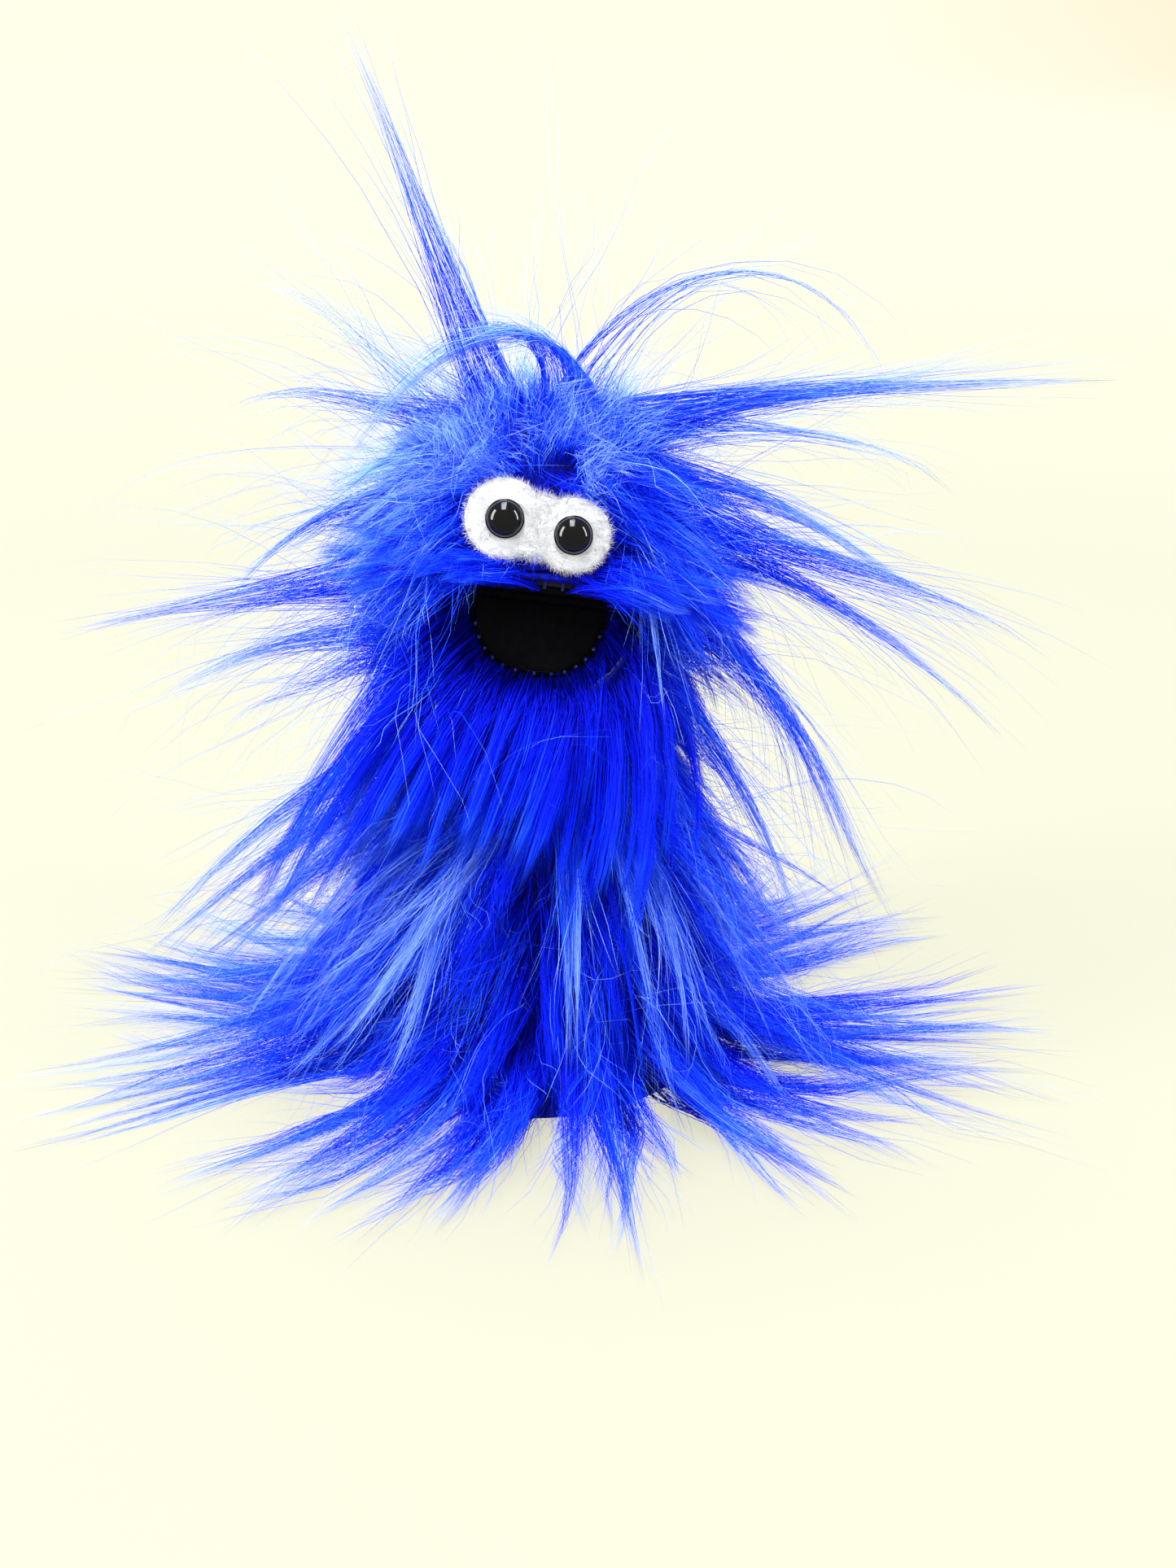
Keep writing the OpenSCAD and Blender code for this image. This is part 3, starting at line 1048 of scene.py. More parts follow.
@dataclass
class Fur:
    """All the puppet's long fur."""

    form: ClothForm
    face: FaceFrames
    material: bpy.types.Material
    limit: int = 190_000
    shapes: dict = field(default_factory=dict)
    count: int = 0

    def __post_init__(self) -> None:
        """Starts the groomer."""
        self.rng = np.random.default_rng(SEED)
        self.groomer = Groomer(self.form, self.face, self.rng)

    def piece(self, name: str, strands: Strands, region: Region) -> list[bpy.types.Object]:
        """Makes one or more pieces of a batch, each under the triangle limit.

        Args:
            name: The pieces' name.
            strands: The batch.
            region: The body that they belong to; only sleeve and head pieces hang from it.

        Returns:
            The pieces.
        """
        steps = strands.points.shape[1] - 1
        shape = self.shapes.setdefault(steps, FibreShape(steps))
        parts = max(1, math.ceil(len(strands.points) * shape.triangles / self.limit))
        root = strands.points[:, 0]
        order = np.argsort(np.arctan2(root[:, 0], -root[:, 1]))
        made = []
        for k, chosen in enumerate(np.array_split(order, parts)):
            label = f"{name}_{k + 1}" if parts > 1 else name
            one = shape.mesh(label, strands.kept(chosen), self.rng)
            one.data.materials.append(self.material)
            if region is Region.NECK:
                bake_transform(one)
            elif region is Region.JAW:
                self.face.follow_jaw(one)
            else:
                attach(one, region.value)
            self.count += len(chosen) * shape.triangles
            made.append(one)
        LOG.info("%s: %d strands in %d pieces", name, len(order), parts)
        return made

    def skirt(self) -> None:
        """The fur that splays from the hem over the table."""
        rng, g = self.rng, self.groomer
        bundles = 124
        azimuth, height = self.form.scatter(rng, bundles, 1 * MM, 34 * MM)
        front = np.exp(-(azimuth / 0.75)**2)
        right = np.exp(-((azimuth - 0.95) / 0.35)**2)
        reach = (157 - 46 * front - 24 * right + rng.normal(0, 9, bundles)) * MM
        reach = np.minimum(reach, 162 * MM)
        lean = azimuth + rng.normal(0, 0.10, bundles) - 0.22 * front
        t = np.linspace(0, 1, GUIDE_POINTS)[:, None]
        root = self.form.point(azimuth, height)
        tip = np.stack((reach * np.sin(lean), -reach * np.cos(lean), rng.uniform(0.4, 5, bundles) * MM), -1)
        span = np.linalg.norm(tip - root, axis=-1, keepdims=True)
        first = g.combed(azimuth, height, 0.7, rng.normal(0, 0.12, bundles), 0.6, 0.12)
        first /= np.linalg.norm(first, axis=-1, keepdims=True)
        inward = (root - tip) * (1, 1, 0) / span
        a = root + first * span * 0.32
        b = tip + inward * span * 0.45 + np.array((0, 0, 1)) * 0.5 * MM
        guides = curve(*(x[:, None, :] for x in (root, a, b, tip)), t)
        # Painted light and shade: the skirt's fur is darker at the front and towards the right, and paler on
        # the left, where the light falls.
        strands = g.bundle(guides, azimuth, height, 80, 8.0, 6, wave=2.8,
                           pale=rng.normal(0.08, 0.08, bundles) - 0.1 * front - 0.10 * np.sin(azimuth),
                           width=0.11, pinch=0.91, loose=0.22, short=0.3, gather=1.6, stray=7.0)
        self.piece("skirt_fur", strands, Region.SLEEVE)

    def sleeve(self) -> None:
        """The fur that falls down the sleeve."""
        rng, g = self.rng, self.groomer
        bundles = 270
        azimuth, height = self.form.scatter(rng, bundles, 22 * MM, 104 * MM)
        sweep = -1.1 * np.exp(-((azimuth + 0.45) / 0.55)**2) + 0.2 * np.sin(azimuth)
        flank = np.sin(np.abs(azimuth))**2
        start = g.combed(azimuth, height, 0.22 + 0.3 * flank, sweep, 1.0, 0.16)
        length = rng.uniform(40, 66, bundles) * MM
        lift = (2.5 + 8 * rng.random(bundles) * (1.3 - height / (105 * MM) * 0.6)) * MM
        guides = g.grow(azimuth, height, start, length, rng.uniform(0.4, 1.2, bundles), lift)
        # Painted shade darkens the fur down the middle of the front.
        strands = g.bundle(guides, azimuth, height, 40, 6.0, 5, wave=1.5, width=0.12,
                           pale=rng.normal(-0.06, 0.07, bundles) - self.painted_front_shade(azimuth), pinch=0.56,
                           short=0.5)
        self.piece("sleeve_fur", strands, Region.SLEEVE)
        self.long_locks()
        locks = self.piece("flank_fur", g.locks(HERO_SLEEVE), Region.SLEEVE)
        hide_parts("flank_locks_left", "flank_locks_right")

    def painted_front_shade(self, azimuth: np.ndarray) -> np.ndarray:
        """How much painted shade darkens the fur down the middle of the front, where less light falls."""
        return 0.36 * np.exp(-((azimuth - 0.15) / 0.27)**2)

    def long_locks(self) -> None:
        """Long loose locks that lie over the sleeve's fur."""
        rng, g = self.rng, self.groomer
        bundles = 130
        azimuth, height = self.form.scatter(rng, bundles, 50 * MM, 104 * MM)
        azimuth = np.where(np.abs(azimuth - 0.15) < 0.2, azimuth - 0.45, azimuth)
        sweep = -1.25 * np.exp(-((azimuth + 0.35) / 0.45)**2) + 0.2 * np.sin(azimuth)
        flank = np.sin(np.abs(azimuth))**2
        start = g.combed(azimuth, height, 0.35 + 0.35 * flank, sweep, 1.0, 0.16)
        length = rng.uniform(55, 100, bundles) * MM
        guides = g.grow(azimuth, height, start, length, rng.uniform(0.1, 0.7, bundles),
                        rng.uniform(8, 15, bundles) * MM)
        # Painted shade darkens the fur down the middle of the front.
        strands = g.bundle(guides, azimuth, height, 30, 4.0, 7, wave=3.2, width=0.105,
                           pale=rng.normal(0.18, 0.11, bundles) - 0.6 * self.painted_front_shade(azimuth),
                           pinch=0.88, loose=0.2, short=0.4, gather=1.5, stray=6.0)
        self.piece("sleeve_locks", strands, Region.SLEEVE)

    def neck(self) -> None:
        """The fur over the soft neck."""
        rng, g = self.rng, self.groomer
        bundles = 50
        azimuth, height = self.form.scatter(rng, bundles, 104 * MM, 118 * MM)
        flank = np.sin(np.abs(azimuth))**2
        sweep = -0.9 * np.exp(-((azimuth + 0.4) / 0.6)**2) + 0.2 * np.sin(azimuth)
        start = g.combed(azimuth, height, 0.3 + 0.25 * flank, sweep, 1.0, 0.16)
        length = rng.uniform(32, 50, bundles) * MM
        guides = g.grow(azimuth, height, start, length, rng.uniform(0.4, 1.2, bundles),
                        rng.uniform(4, 9, bundles) * MM)
        # Painted shade darkens the fur down the middle of the front.
        strands = g.bundle(guides, azimuth, height, 44, 6.0, 5, wave=1.2, width=0.12,
                           pale=-0.06 - 0.6 * self.painted_front_shade(azimuth), pinch=0.5)
        self.piece("neck_fur", strands, Region.NECK)

    def head(self) -> None:
        """The fur of the head, short round the face and long at the sides."""
        rng, g = self.rng, self.groomer
        bundles = 380
        azimuth, height = self.form.scatter(rng, bundles, 118 * MM, 184 * MM)
        outside = ~self.face.in_window(azimuth, height, -2 * MM)
        azimuth, height = azimuth[outside], height[outside]
        bundles = len(azimuth)
        face = np.exp(-(azimuth / 0.8)**2)
        away = np.sign(azimuth + 0.03) * (0.35 + 0.55 * face)
        top = np.clip((height / MM - 160) / 25, 0, 1)
        start = g.combed(azimuth, height, 0.28 + 0.15 * top, away, 0.8 - 0.3 * face, 0.18)
        length = (rng.uniform(34, 58, bundles) - 20 * face) * MM
        lift = (3 + 8 * rng.random(bundles) * (1 - 0.75 * face)) * MM
        guides = g.grow(azimuth, height, start, length, rng.uniform(0.2, 0.9, bundles), lift)
        # Painted light and shade: the fur is paler towards the top and on the left, where the lamps fall, and
        # darker round the face and on the right.
        strands = g.bundle(guides, azimuth, height, 38, 5.5, 5, wave=1.4, width=0.12,
                           pale=0.3 * top - 0.3 * face + 0.06 - 0.14 * np.sign(azimuth), pinch=0.54,
                           short=0.5)
        self.piece("head_fur", strands, Region.HEAD)
        locks = self.piece("head_locks", g.locks(HERO_HEAD), Region.HEAD)
        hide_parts("crown_lock", "arch_lock", "head_locks_left", "head_locks_right")

    def topknot(self) -> None:
        """The fuzzy tuft on the crown."""
        rng, g = self.rng, self.groomer
        bundles = 95
        azimuth, height = self.form.scatter(rng, bundles, 172 * MM, 189.8 * MM)
        start = g.combed(azimuth, height, 1.0, rng.normal(0, 0.3, bundles), 0.25, 0.35)
        start = start + np.array((0.12, 0, 0.5))
        length = rng.uniform(11, 24, bundles) * MM
        guides = g.grow(azimuth, height, start, length, rng.uniform(0.2, 0.8, bundles), 0.5 * MM + 0 * length)
        # Painted light: the topknot is drawn paler, as light falling on the crown.
        strands = g.bundle(guides, azimuth, height, 52, 6.0, 4, wave=1.6, pale=0.32,
                           pinch=0.25, width=0.09, loose=0.15)
        pieces = self.piece("topknot_fur", strands, Region.HEAD)
        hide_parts("topknot_pile")

    def fluff(self) -> None:
        """Fine short fibres that stand off all over and blur the outline."""
        rng, g = self.rng, self.groomer
        for name, region, z0, z1, bundles in (
            ("head_fluff", Region.HEAD, 120, 188, 560), ("sleeve_fluff", Region.SLEEVE, 4, 103, 400),
        ):
            azimuth, height = self.form.scatter(rng, bundles, z0 * MM, z1 * MM)
            face = np.exp(-(azimuth / 0.6)**2)
            start = g.combed(azimuth, height, 0.9, rng.normal(0, 0.4, bundles), 0.5, 0.4)
            length = rng.uniform(16, 34, bundles) * (1 - 0.5 * face) * MM
            guides = g.grow(azimuth, height, start, length, rng.uniform(0.2, 1.4, bundles), MM + 0 * length)
            # Painted light and shade: the fluff is drawn paler, as light shining through thin fibres, and
            # darker down the middle of the front.
            strands = g.bundle(guides, azimuth, height, 8, 6.0, 4, wave=1.8, width=0.07,
                               pale=0.2 - self.painted_front_shade(azimuth), pinch=0.2, loose=0.2)
            self.piece(name, strands, region)

    def wisps(self) -> None:
        """Single long fibres that stray all round."""
        rng, g = self.rng, self.groomer
        for name, region, z0, z1, count in (
            ("head_wisps", Region.HEAD, 120, 189.5, 420),
            ("sleeve_wisps", Region.SLEEVE, 5, 100, 300),
        ):
            azimuth, height = self.form.scatter(rng, count, z0 * MM, z1 * MM)
            aside = (np.abs(azimuth) > 0.6) | (height < 60 * MM) | (height > 182 * MM)
            azimuth, height = azimuth[aside], height[aside]
            count = len(azimuth)
            face = np.exp(-(azimuth / 0.7)**2)
            start = g.combed(azimuth, height, 1.0, rng.normal(0, 0.4, count), 0.1, 0.5)
            length = rng.uniform(45, 115, count) * (1 - 0.5 * face) * MM
            guides = g.grow(azimuth, height, start, length, rng.uniform(0.0, 2.2, count), 2 * MM + 0 * length)
            # Painted light: the stray fibres are drawn paler, as light shining through thin fibres.
            strands = g.bundle(guides, azimuth, height, 2, 4.0, 8, wave=3.0, pale=0.36,
                               pinch=0.2, width=0.065, loose=0.4)
            self.piece(name, strands, region)

    def lips(self) -> None:
        """The fur that starts at the lips: combed aside above the mouth, long under the chin."""
        upper = LipFur(self, below=False, reach=(13, 24), fall=0.12, drift=(0, 0, -0.02))
        self.piece("lip_fur", upper.strands(), Region.HEAD)
        lower = LipFur(self, below=True, reach=(13, 50), fall=0.3, drift=(-0.035, 0, -0.09))
        pieces = self.piece("chin_fur", lower.strands(), Region.JAW)
        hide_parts("chin_pile")


@dataclass
class LipFur:
    """Fur that grows out of one lip."""

    fur: Fur
    below: bool
    reach: tuple
    fall: float
    drift: tuple
    aside: float = 1.1
    count: int = 150
    fibres: int = 26
    steps: int = 5

    def over(self, angle: np.ndarray) -> tuple:
        """Roots and first headings above the upper lip.

        Args:
            angle: Each root's angle along the lip, 0 at its right end.

        Returns:
            The roots, and one heading for each.
        """
        rng, lip = self.fur.rng, self.fur.face.upper()
        edge = np.array([self.fur.face.outline(a, 2.4 * MM) for a in angle])
        turn = np.array(lip.to_3x3())
        z = rng.uniform(0.8, 8.0, self.count) * MM
        root = np.column_stack((edge, z)) @ turn.T + np.array(lip.translation)
        aside = np.sign(np.cos(angle) - 0.12) * self.aside * np.sin(angle)
        lean = rng.uniform(0.1, 0.9, self.count) * 0.6
        return root, np.column_stack((np.cos(angle) + aside, -np.sin(angle) * 0.6, lean)) @ turn.T

    def under(self, angle: np.ndarray) -> tuple:
        """Roots and first headings on the chin's skin.

        Args:
            angle: Each root's angle along the lip, 0 at its right end.

        Returns:
            The roots, and one heading for each.
        """
        face, share = self.fur.face, angle / math.pi
        depth = self.fur.rng.uniform(0.04, 0.9, self.count)
        root = np.array([face.chin(u, v) for u, v in zip(share, depth)])
        turn = np.radians((1 - 2 * share) * face.chin_side)
        stray = self.fur.rng.normal(-0.15, 0.2, self.count)
        return root, np.column_stack((np.sin(turn) + stray, -np.cos(turn), 0 * turn))

    def strands(self) -> Strands:
        """Grows it, bundle by bundle.

        Returns:
            The strands that don't cover the face.
        """
        fur, rng = self.fur, self.fur.rng
        angle = rng.uniform(0.02, math.pi - 0.02, self.count)
        root, out = self.under(angle) if self.below else self.over(angle)
        d = out + DOWN * self.fall + rng.normal(size=out.shape) * 0.1
        d /= np.linalg.norm(d, axis=-1, keepdims=True)
        length = rng.uniform(*self.reach, self.count) * (1 + 0.9 * np.cos(angle)**2) * MM
        step, p, line = (length / (GUIDE_POINTS - 1))[:, None], root, [root]
        for k in range(1, GUIDE_POINTS):
            d = d + self.drift
            d /= np.linalg.norm(d, axis=-1, keepdims=True)
            p = p + d * step
            clear = fur.form.push_out(p, 7 * MM * k / GUIDE_POINTS)
            p = np.where(p[:, 2:] < 120 * MM, clear, p)
            line.append(p)
        guides = np.stack(line, 1)
        t = np.linspace(0, 1, self.steps + 1)
        at = np.linspace(0, GUIDE_POINTS - 1, self.steps + 1).astype(int)
        middle = guides[:, None, at]
        off = rng.normal(size=(self.count, self.fibres, 1, 3)) * 1.4 * MM
        shrink = (1 - t)**0.8 * 0.6 + 0.4
        p = middle + off * shrink[:, None]
        p = p + fur.groomer.waves(p.shape, t, np.full(self.count, 0.6), 0.16)
        p = p.reshape(-1, self.steps + 1, 3)
        # Painted shade: the lip and chin fur starts from a lower tint than the rest, darker as shade round
        # the mouth and under the chin.
        tint = 0.10 + rng.normal(0, 0.13, (self.count, 1)) + rng.normal(0, 0.12, (self.count, self.fibres))
        thick = 0.12 * MM * rng.uniform(0.7, 1.25, len(p))
        made = Strands(p, thick, np.clip(tint.ravel(), 0, 1))
        return made.kept(~fur.face.hides_face(p))


# --- Cloth, felt and hard pieces ------------------------------------------------------------


def signed_power(x: float, power: float) -> float:
    """Raises a sine or a cosine to a power and keeps its sign, which squares off a circle."""
    return math.copysign(abs(x)**power, x)


def link(name: str, bm: bmesh.types.BMesh, material: bpy.types.Material,
         smooth: bool = True) -> bpy.types.Object:
    """Turns a bmesh into a shown piece.

    Args:
        name: The piece's name.
        bm: The shape, which is freed.
        material: Its finish.
        smooth: Whether its faces are shaded smooth.

    Returns:
        The piece.
    """
    mesh = bpy.data.meshes.new(name)
    bm.to_mesh(mesh)
    bm.free()
    mesh.polygons.foreach_set("use_smooth", [smooth] * len(mesh.polygons))
    mesh.materials.append(material)
    piece = bpy.data.objects.new(name, mesh)
    bpy.context.scene.collection.objects.link(piece)
    return piece


def warped(across: int, along: int, place: Callable[[float, float], Vector],
           merge: float = 1e-6) -> bmesh.types.BMesh:
    """Warps a flat grid, and joins its points where they meet.

    Args:
        across: Squares across it.
        along: Squares along it.
        place: Where each point goes, from its share across and along.
        merge: How near two points have to be to become one, in metres.

    Returns:
        The shape.
    """
    bm = bmesh.new()
    bmesh.ops.create_grid(bm, x_segments=across, y_segments=along, size=0.5)
    for v in bm.verts:
        v.co = place(v.co.x + 0.5, v.co.y + 0.5)
    bmesh.ops.remove_doubles(bm, verts=bm.verts[:], dist=merge)
    return bm


def closed(name: str, bm: bmesh.types.BMesh, material: bpy.types.Material) -> bpy.types.Object:
    """Turns a closed shape into a piece whose faces look outwards.

    Args:
        name: The piece's name.
        bm: The shape, which is freed.
        material: Its finish.

    Returns:
        The piece.
    """
    bmesh.ops.recalc_face_normals(bm, faces=bm.faces[:])
    return link(name, turned_out(bm), material)


def sheet_of(name: str, across: int, along: int, place: Callable[[float, float], Vector],
             thick: float, material: bpy.types.Material,
             cut: Callable[[Vector], bool] | None = None) -> bpy.types.Object:
    """Warps a flat grid into a thin closed sheet.

    Args:
        name: The piece's name.
        across: Squares across it.
        along: Squares along it.
        place: Where each point goes, from its share across and along.
        thick: The sheet's thickness in metres.
        material: Its finish.
        cut: Says which faces to leave out, from their middles.

    Returns:
        The piece.
    """
    bm = warped(across, along, place)
    if cut:
        gone = [f for f in bm.faces if cut(f.calc_center_median())]
        bmesh.ops.delete(bm, geom=gone, context="FACES")
        rim = [v for v in bm.verts if v.is_boundary]
        for _ in range(3):
            bmesh.ops.smooth_vert(bm, verts=rim, factor=0.5,
                                  use_axis_x=True, use_axis_y=True, use_axis_z=True)
    bmesh.ops.recalc_face_normals(bm, faces=bm.faces[:])
    bmesh.ops.solidify(bm, geom=bm.faces[:], thickness=thick)
    return link(name, turned_out(bm), material)


def turned_out(bm: bmesh.types.BMesh) -> bmesh.types.BMesh:
    """Turns a closed shape's faces outwards."""
    if bm.calc_volume(signed=True) < 0:
        bmesh.ops.reverse_faces(bm, faces=bm.faces[:])
    return bm


def pillow(name: str, rim: Callable[[float], tuple], matrix: Matrix, z0: float, z1: float,
           material: bpy.types.Material, ragged: float = 0.0, lumps: float = 0.0) -> bpy.types.Object:
    """Makes a flat felt shape with soft edges.

    Args:
        name: The piece's name.
        rim: A point on its edge for each angle, as x and y.
        matrix: Its frame.
        z0: Its back in that frame.
        z1: Its front.
        material: Its finish.
        ragged: How uneven the edge is, in metres.
        lumps: How uneven the faces are, in metres.

    Returns:
        The piece.
    """
    half = (z1 - z0) / 2

    def place(u: float, v: float) -> Vector:
        """A point on the pillow.

        Args:
            u: Its share of the way round, from 0 to 1.
            v: 0 at the back's middle, 1 at the front's.

        Returns:
            The point.
        """
        x, y = rim(2 * math.pi * u)
        s = 1 - abs(2 * v - 1)
        share = 1 - (1 - s)**2
        rough = noise.noise((math.cos(2 * math.pi * u) * 9, math.sin(2 * math.pi * u) * 9, z0 * 900))
        grow = 1 + ragged * rough / math.hypot(x, y)
        height = half * math.sqrt(max(0.0, 1 - share**9)) * (1 if v < 0.5 else -1)
        lump = lumps * noise.noise((x * share * 700, y * share * 700, 5 * v)) * (1 - share**4)
        return matrix @ Vector((x * share * grow, y * share * grow, (z0 + z1) / 2 + height + lump))

    return closed(name, warped(120, 24, place, 1e-7), material)


def turned(side: Iterable[tuple], steps: int, merge: float = 1e-7) -> bmesh.types.BMesh:
    """Spins a side view round Z.

    Args:
        side: Radius and height pairs, in order.
        steps: Flats round it.
        merge: How near two points have to be to become one, in metres.

    Returns:
        The shape.
    """
    bm = bmesh.new()
    verts = [bm.verts.new((r, 0, z)) for r, z in side]
    edges = [bm.edges.new(pair) for pair in zip(verts, verts[1:])]
    bmesh.ops.spin(bm, geom=verts + edges, cent=(0, 0, 0), axis=(0, 0, 1), dvec=(0, 0, 0),
                   angle=2 * math.pi, steps=steps, use_merge=True)
    bmesh.ops.remove_doubles(bm, verts=bm.verts[:], dist=merge)
    bmesh.ops.recalc_face_normals(bm, faces=bm.faces[:])
    return bm


def spun(name: str, side: Iterable[tuple], matrix: Matrix, material: bpy.types.Material,
         steps: int = 64) -> bpy.types.Object:
    """Spins a side view that starts and ends on the axis round its frame's Z.

    Args:
        name: The piece's name.
        side: Radius and height pairs.
        matrix: Its frame.
        material: Its finish.
        steps: Flats round it.

    Returns:
        The piece.
    """
    bm = turned(side, steps)
    bmesh.ops.transform(bm, matrix=matrix, verts=bm.verts[:])
    return link(name, turned_out(bm), material)


@dataclass
class Skins:
    """The knitted backing cloth, and the dense fleece that covers it."""

    form: ClothForm
    face: FaceFrames
    cloth: bpy.types.Material
    fleece: bpy.types.Material
    wall: float = 1.3 * MM
    pile: float = 1.8 * MM
    neck_h: float = 12.4 * MM

    def window(self, share: float, rise: float) -> Vector:
        """A point on the mouth window's edge.

        Args:
            share: 0 at the fold's right end, 1 at its left end.
            rise: How far the edge's middle is above the fold.

        Returns:
            The point on the cloth.
        """
        azimuth = math.radians(self.face.window_side) * (1 - 2 * share)
        z = self.face.fold().translation.z + rise * math.sin(math.pi * share)
        return Vector(self.form.point(np.array(azimuth), np.array(z)))

    def wrap(self, name: str, z0: float, z1: float, gap: float, thick: float, rows: int,
             material: bpy.types.Material, lumps: float, cut: bool = False) -> bpy.types.Object:
        """Wraps a sheet round the form.

        Args:
            name: The piece's name.
            z0: Its bottom.
            z1: Its top.
            gap: How far outside the cloth's face it lies.
            thick: Its thickness.
            rows: Squares up it.
            material: Its finish.
            lumps: How uneven it is, in metres.
            cut: Whether the mouth's window is cut out.

        Returns:
            The piece.
        """
        def place(u: float, v: float) -> Vector:
            """A point on the sheet.

            Args:
                u: Its share of the way round the form, from 0 to 1.
                v: 0 at the bottom, 1 at the top.

            Returns:
                The point.
            """
            azimuth, z = np.array(2 * math.pi * u), np.array(z0 + (z1 - z0) * v)
            p = Vector(self.form.point(azimuth, z))
            out = Vector(self.form.normal(azimuth, z))
            if z > self.form.crown_z - 0.01 * MM:
                p, out = Vector((0, 0, self.form.crown_z)), Vector((0, 0, 1))
            lump = noise.noise(p * 90) + 0.5 * noise.noise(p * 260)
            return p + out * (gap + lumps * lump)

        def in_mouth(p: Vector) -> bool:
            """Says whether a face's middle lies in the mouth's window."""
            return bool(self.face.in_window(math.atan2(p.x, -p.y), p.z, 0.0))

        return sheet_of(name, 128, rows, place, thick, material, in_mouth if cut else None)

    def build_sleeve(self) -> None:
        """The sleeve's cloth and fleece."""
        top = self.form.sleeve_h
        cloth = self.wrap("sleeve_backing", 0.5 * MM, top, 0, self.wall, 44, self.cloth, 0.15 * MM)
        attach(cloth, "sleeve")
        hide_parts("sleeve_cloth")
        fleece = self.wrap("sleeve_fleece", 1 * MM, top, self.pile, self.pile, 60, self.fleece, 0.5 * MM)
        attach(fleece, "sleeve")
        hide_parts("skirt_pile", "sleeve_pile")

    def build_neck(self) -> None:
        """The neck's cloth and fleece, baked in place."""
        z0, z1 = self.form.sleeve_h, self.form.sleeve_h + self.neck_h
        cloth = self.wrap("neck_backing", z0, z1, 0, self.wall, 12, self.cloth, 0.15 * MM)
        fleece = self.wrap("neck_fleece", z0, z1, self.pile, self.pile, 14, self.fleece, 0.5 * MM)
        for piece, slot, node in ((cloth, "backing_cloth", "neck_cloth"), (fleece, "long_fur", "neck_pile")):
            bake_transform(piece)
            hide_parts(node)
        z1 - z0

    def build_head(self) -> None:
        """The head's cloth and fleece, with the mouth's window."""
        z0, z1 = self.form.sleeve_h + self.neck_h, self.form.crown_z
        cloth = self.wrap("head_backing", z0, z1, 0, self.wall, 60, self.cloth, 0.15 * MM, cut=True)
        fleece = self.wrap("head_fleece", z0, z1, 1.2 * MM, 1.1 * MM, 70, self.fleece, 0.4 * MM, cut=True)
        for piece, slot, node in ((cloth, "backing_cloth", "head_cloth"), (fleece, "long_fur", "head_pile")):
            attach(piece, "head")
            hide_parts(node)

    def build_lips(self) -> None:
        """The skins from the mouth window's edge in to the two lips."""
        upper = self.face.upper()

        def brow(u: float, v: float) -> Vector:
            """A point on the upper lip's skin.

            Args:
                u: 0 at the mouth's right corner, 1 at its left one.
                v: 0 at the lip, 1 at the window's edge.

            Returns:
                The point.
            """
            x, y = self.face.outline(math.pi * u, self.face.lip_rim)
            lip = upper @ Vector((x, y, self.face.lip_depth))
            bulge = Vector((0, -1, 0)) * 2.5 * MM * math.sin(math.pi * v)
            return lip.lerp(self.window(u, self.face.window_top), v) + bulge

        lip = sheet_of("lip_backing", 48, 10, brow, 1.0 * MM, self.fleece)
        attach(lip, "head")
        throat = sheet_of("throat_backing", 48, 24, self.face.chin, 1.0 * MM, self.fleece)
        self.face.follow_jaw(throat)
        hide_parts("chin_cloth")

    def build_hem(self) -> None:
        """The turned hem: a soft rolled band inside the sleeve's edge."""
        low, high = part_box("hem_band")
        radius, height = high.x, high.z - low.z

        def place(u: float, v: float) -> Vector:
            """A point on the hem's roll.

            Args:
                u: Its share of the way round the hem, from 0 to 1.
                v: Its share of the way round the roll.

            Returns:
                The point.
            """
            angle, turn = 2 * math.pi * u, 2 * math.pi * v
            pucker = 0.25 * MM * math.sin(96 * angle) * math.sin(turn / 2)
            r = radius - 1.0 * MM + (0.85 * MM + pucker) * signed_power(math.cos(turn), 0.6)
            z = low.z + height / 2 + height / 2 * signed_power(math.sin(turn), 0.5)
            return Vector((r * math.cos(angle), r * math.sin(angle), z))

        piece = closed("hem_roll", warped(384, 20, place), self.cloth)
        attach(piece, "sleeve")
        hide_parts("hem_band")

    def build(self) -> None:
        """Makes every skin."""
        self.build_sleeve()
        self.build_neck()
        self.build_head()
        self.build_lips()
        self.build_hem()


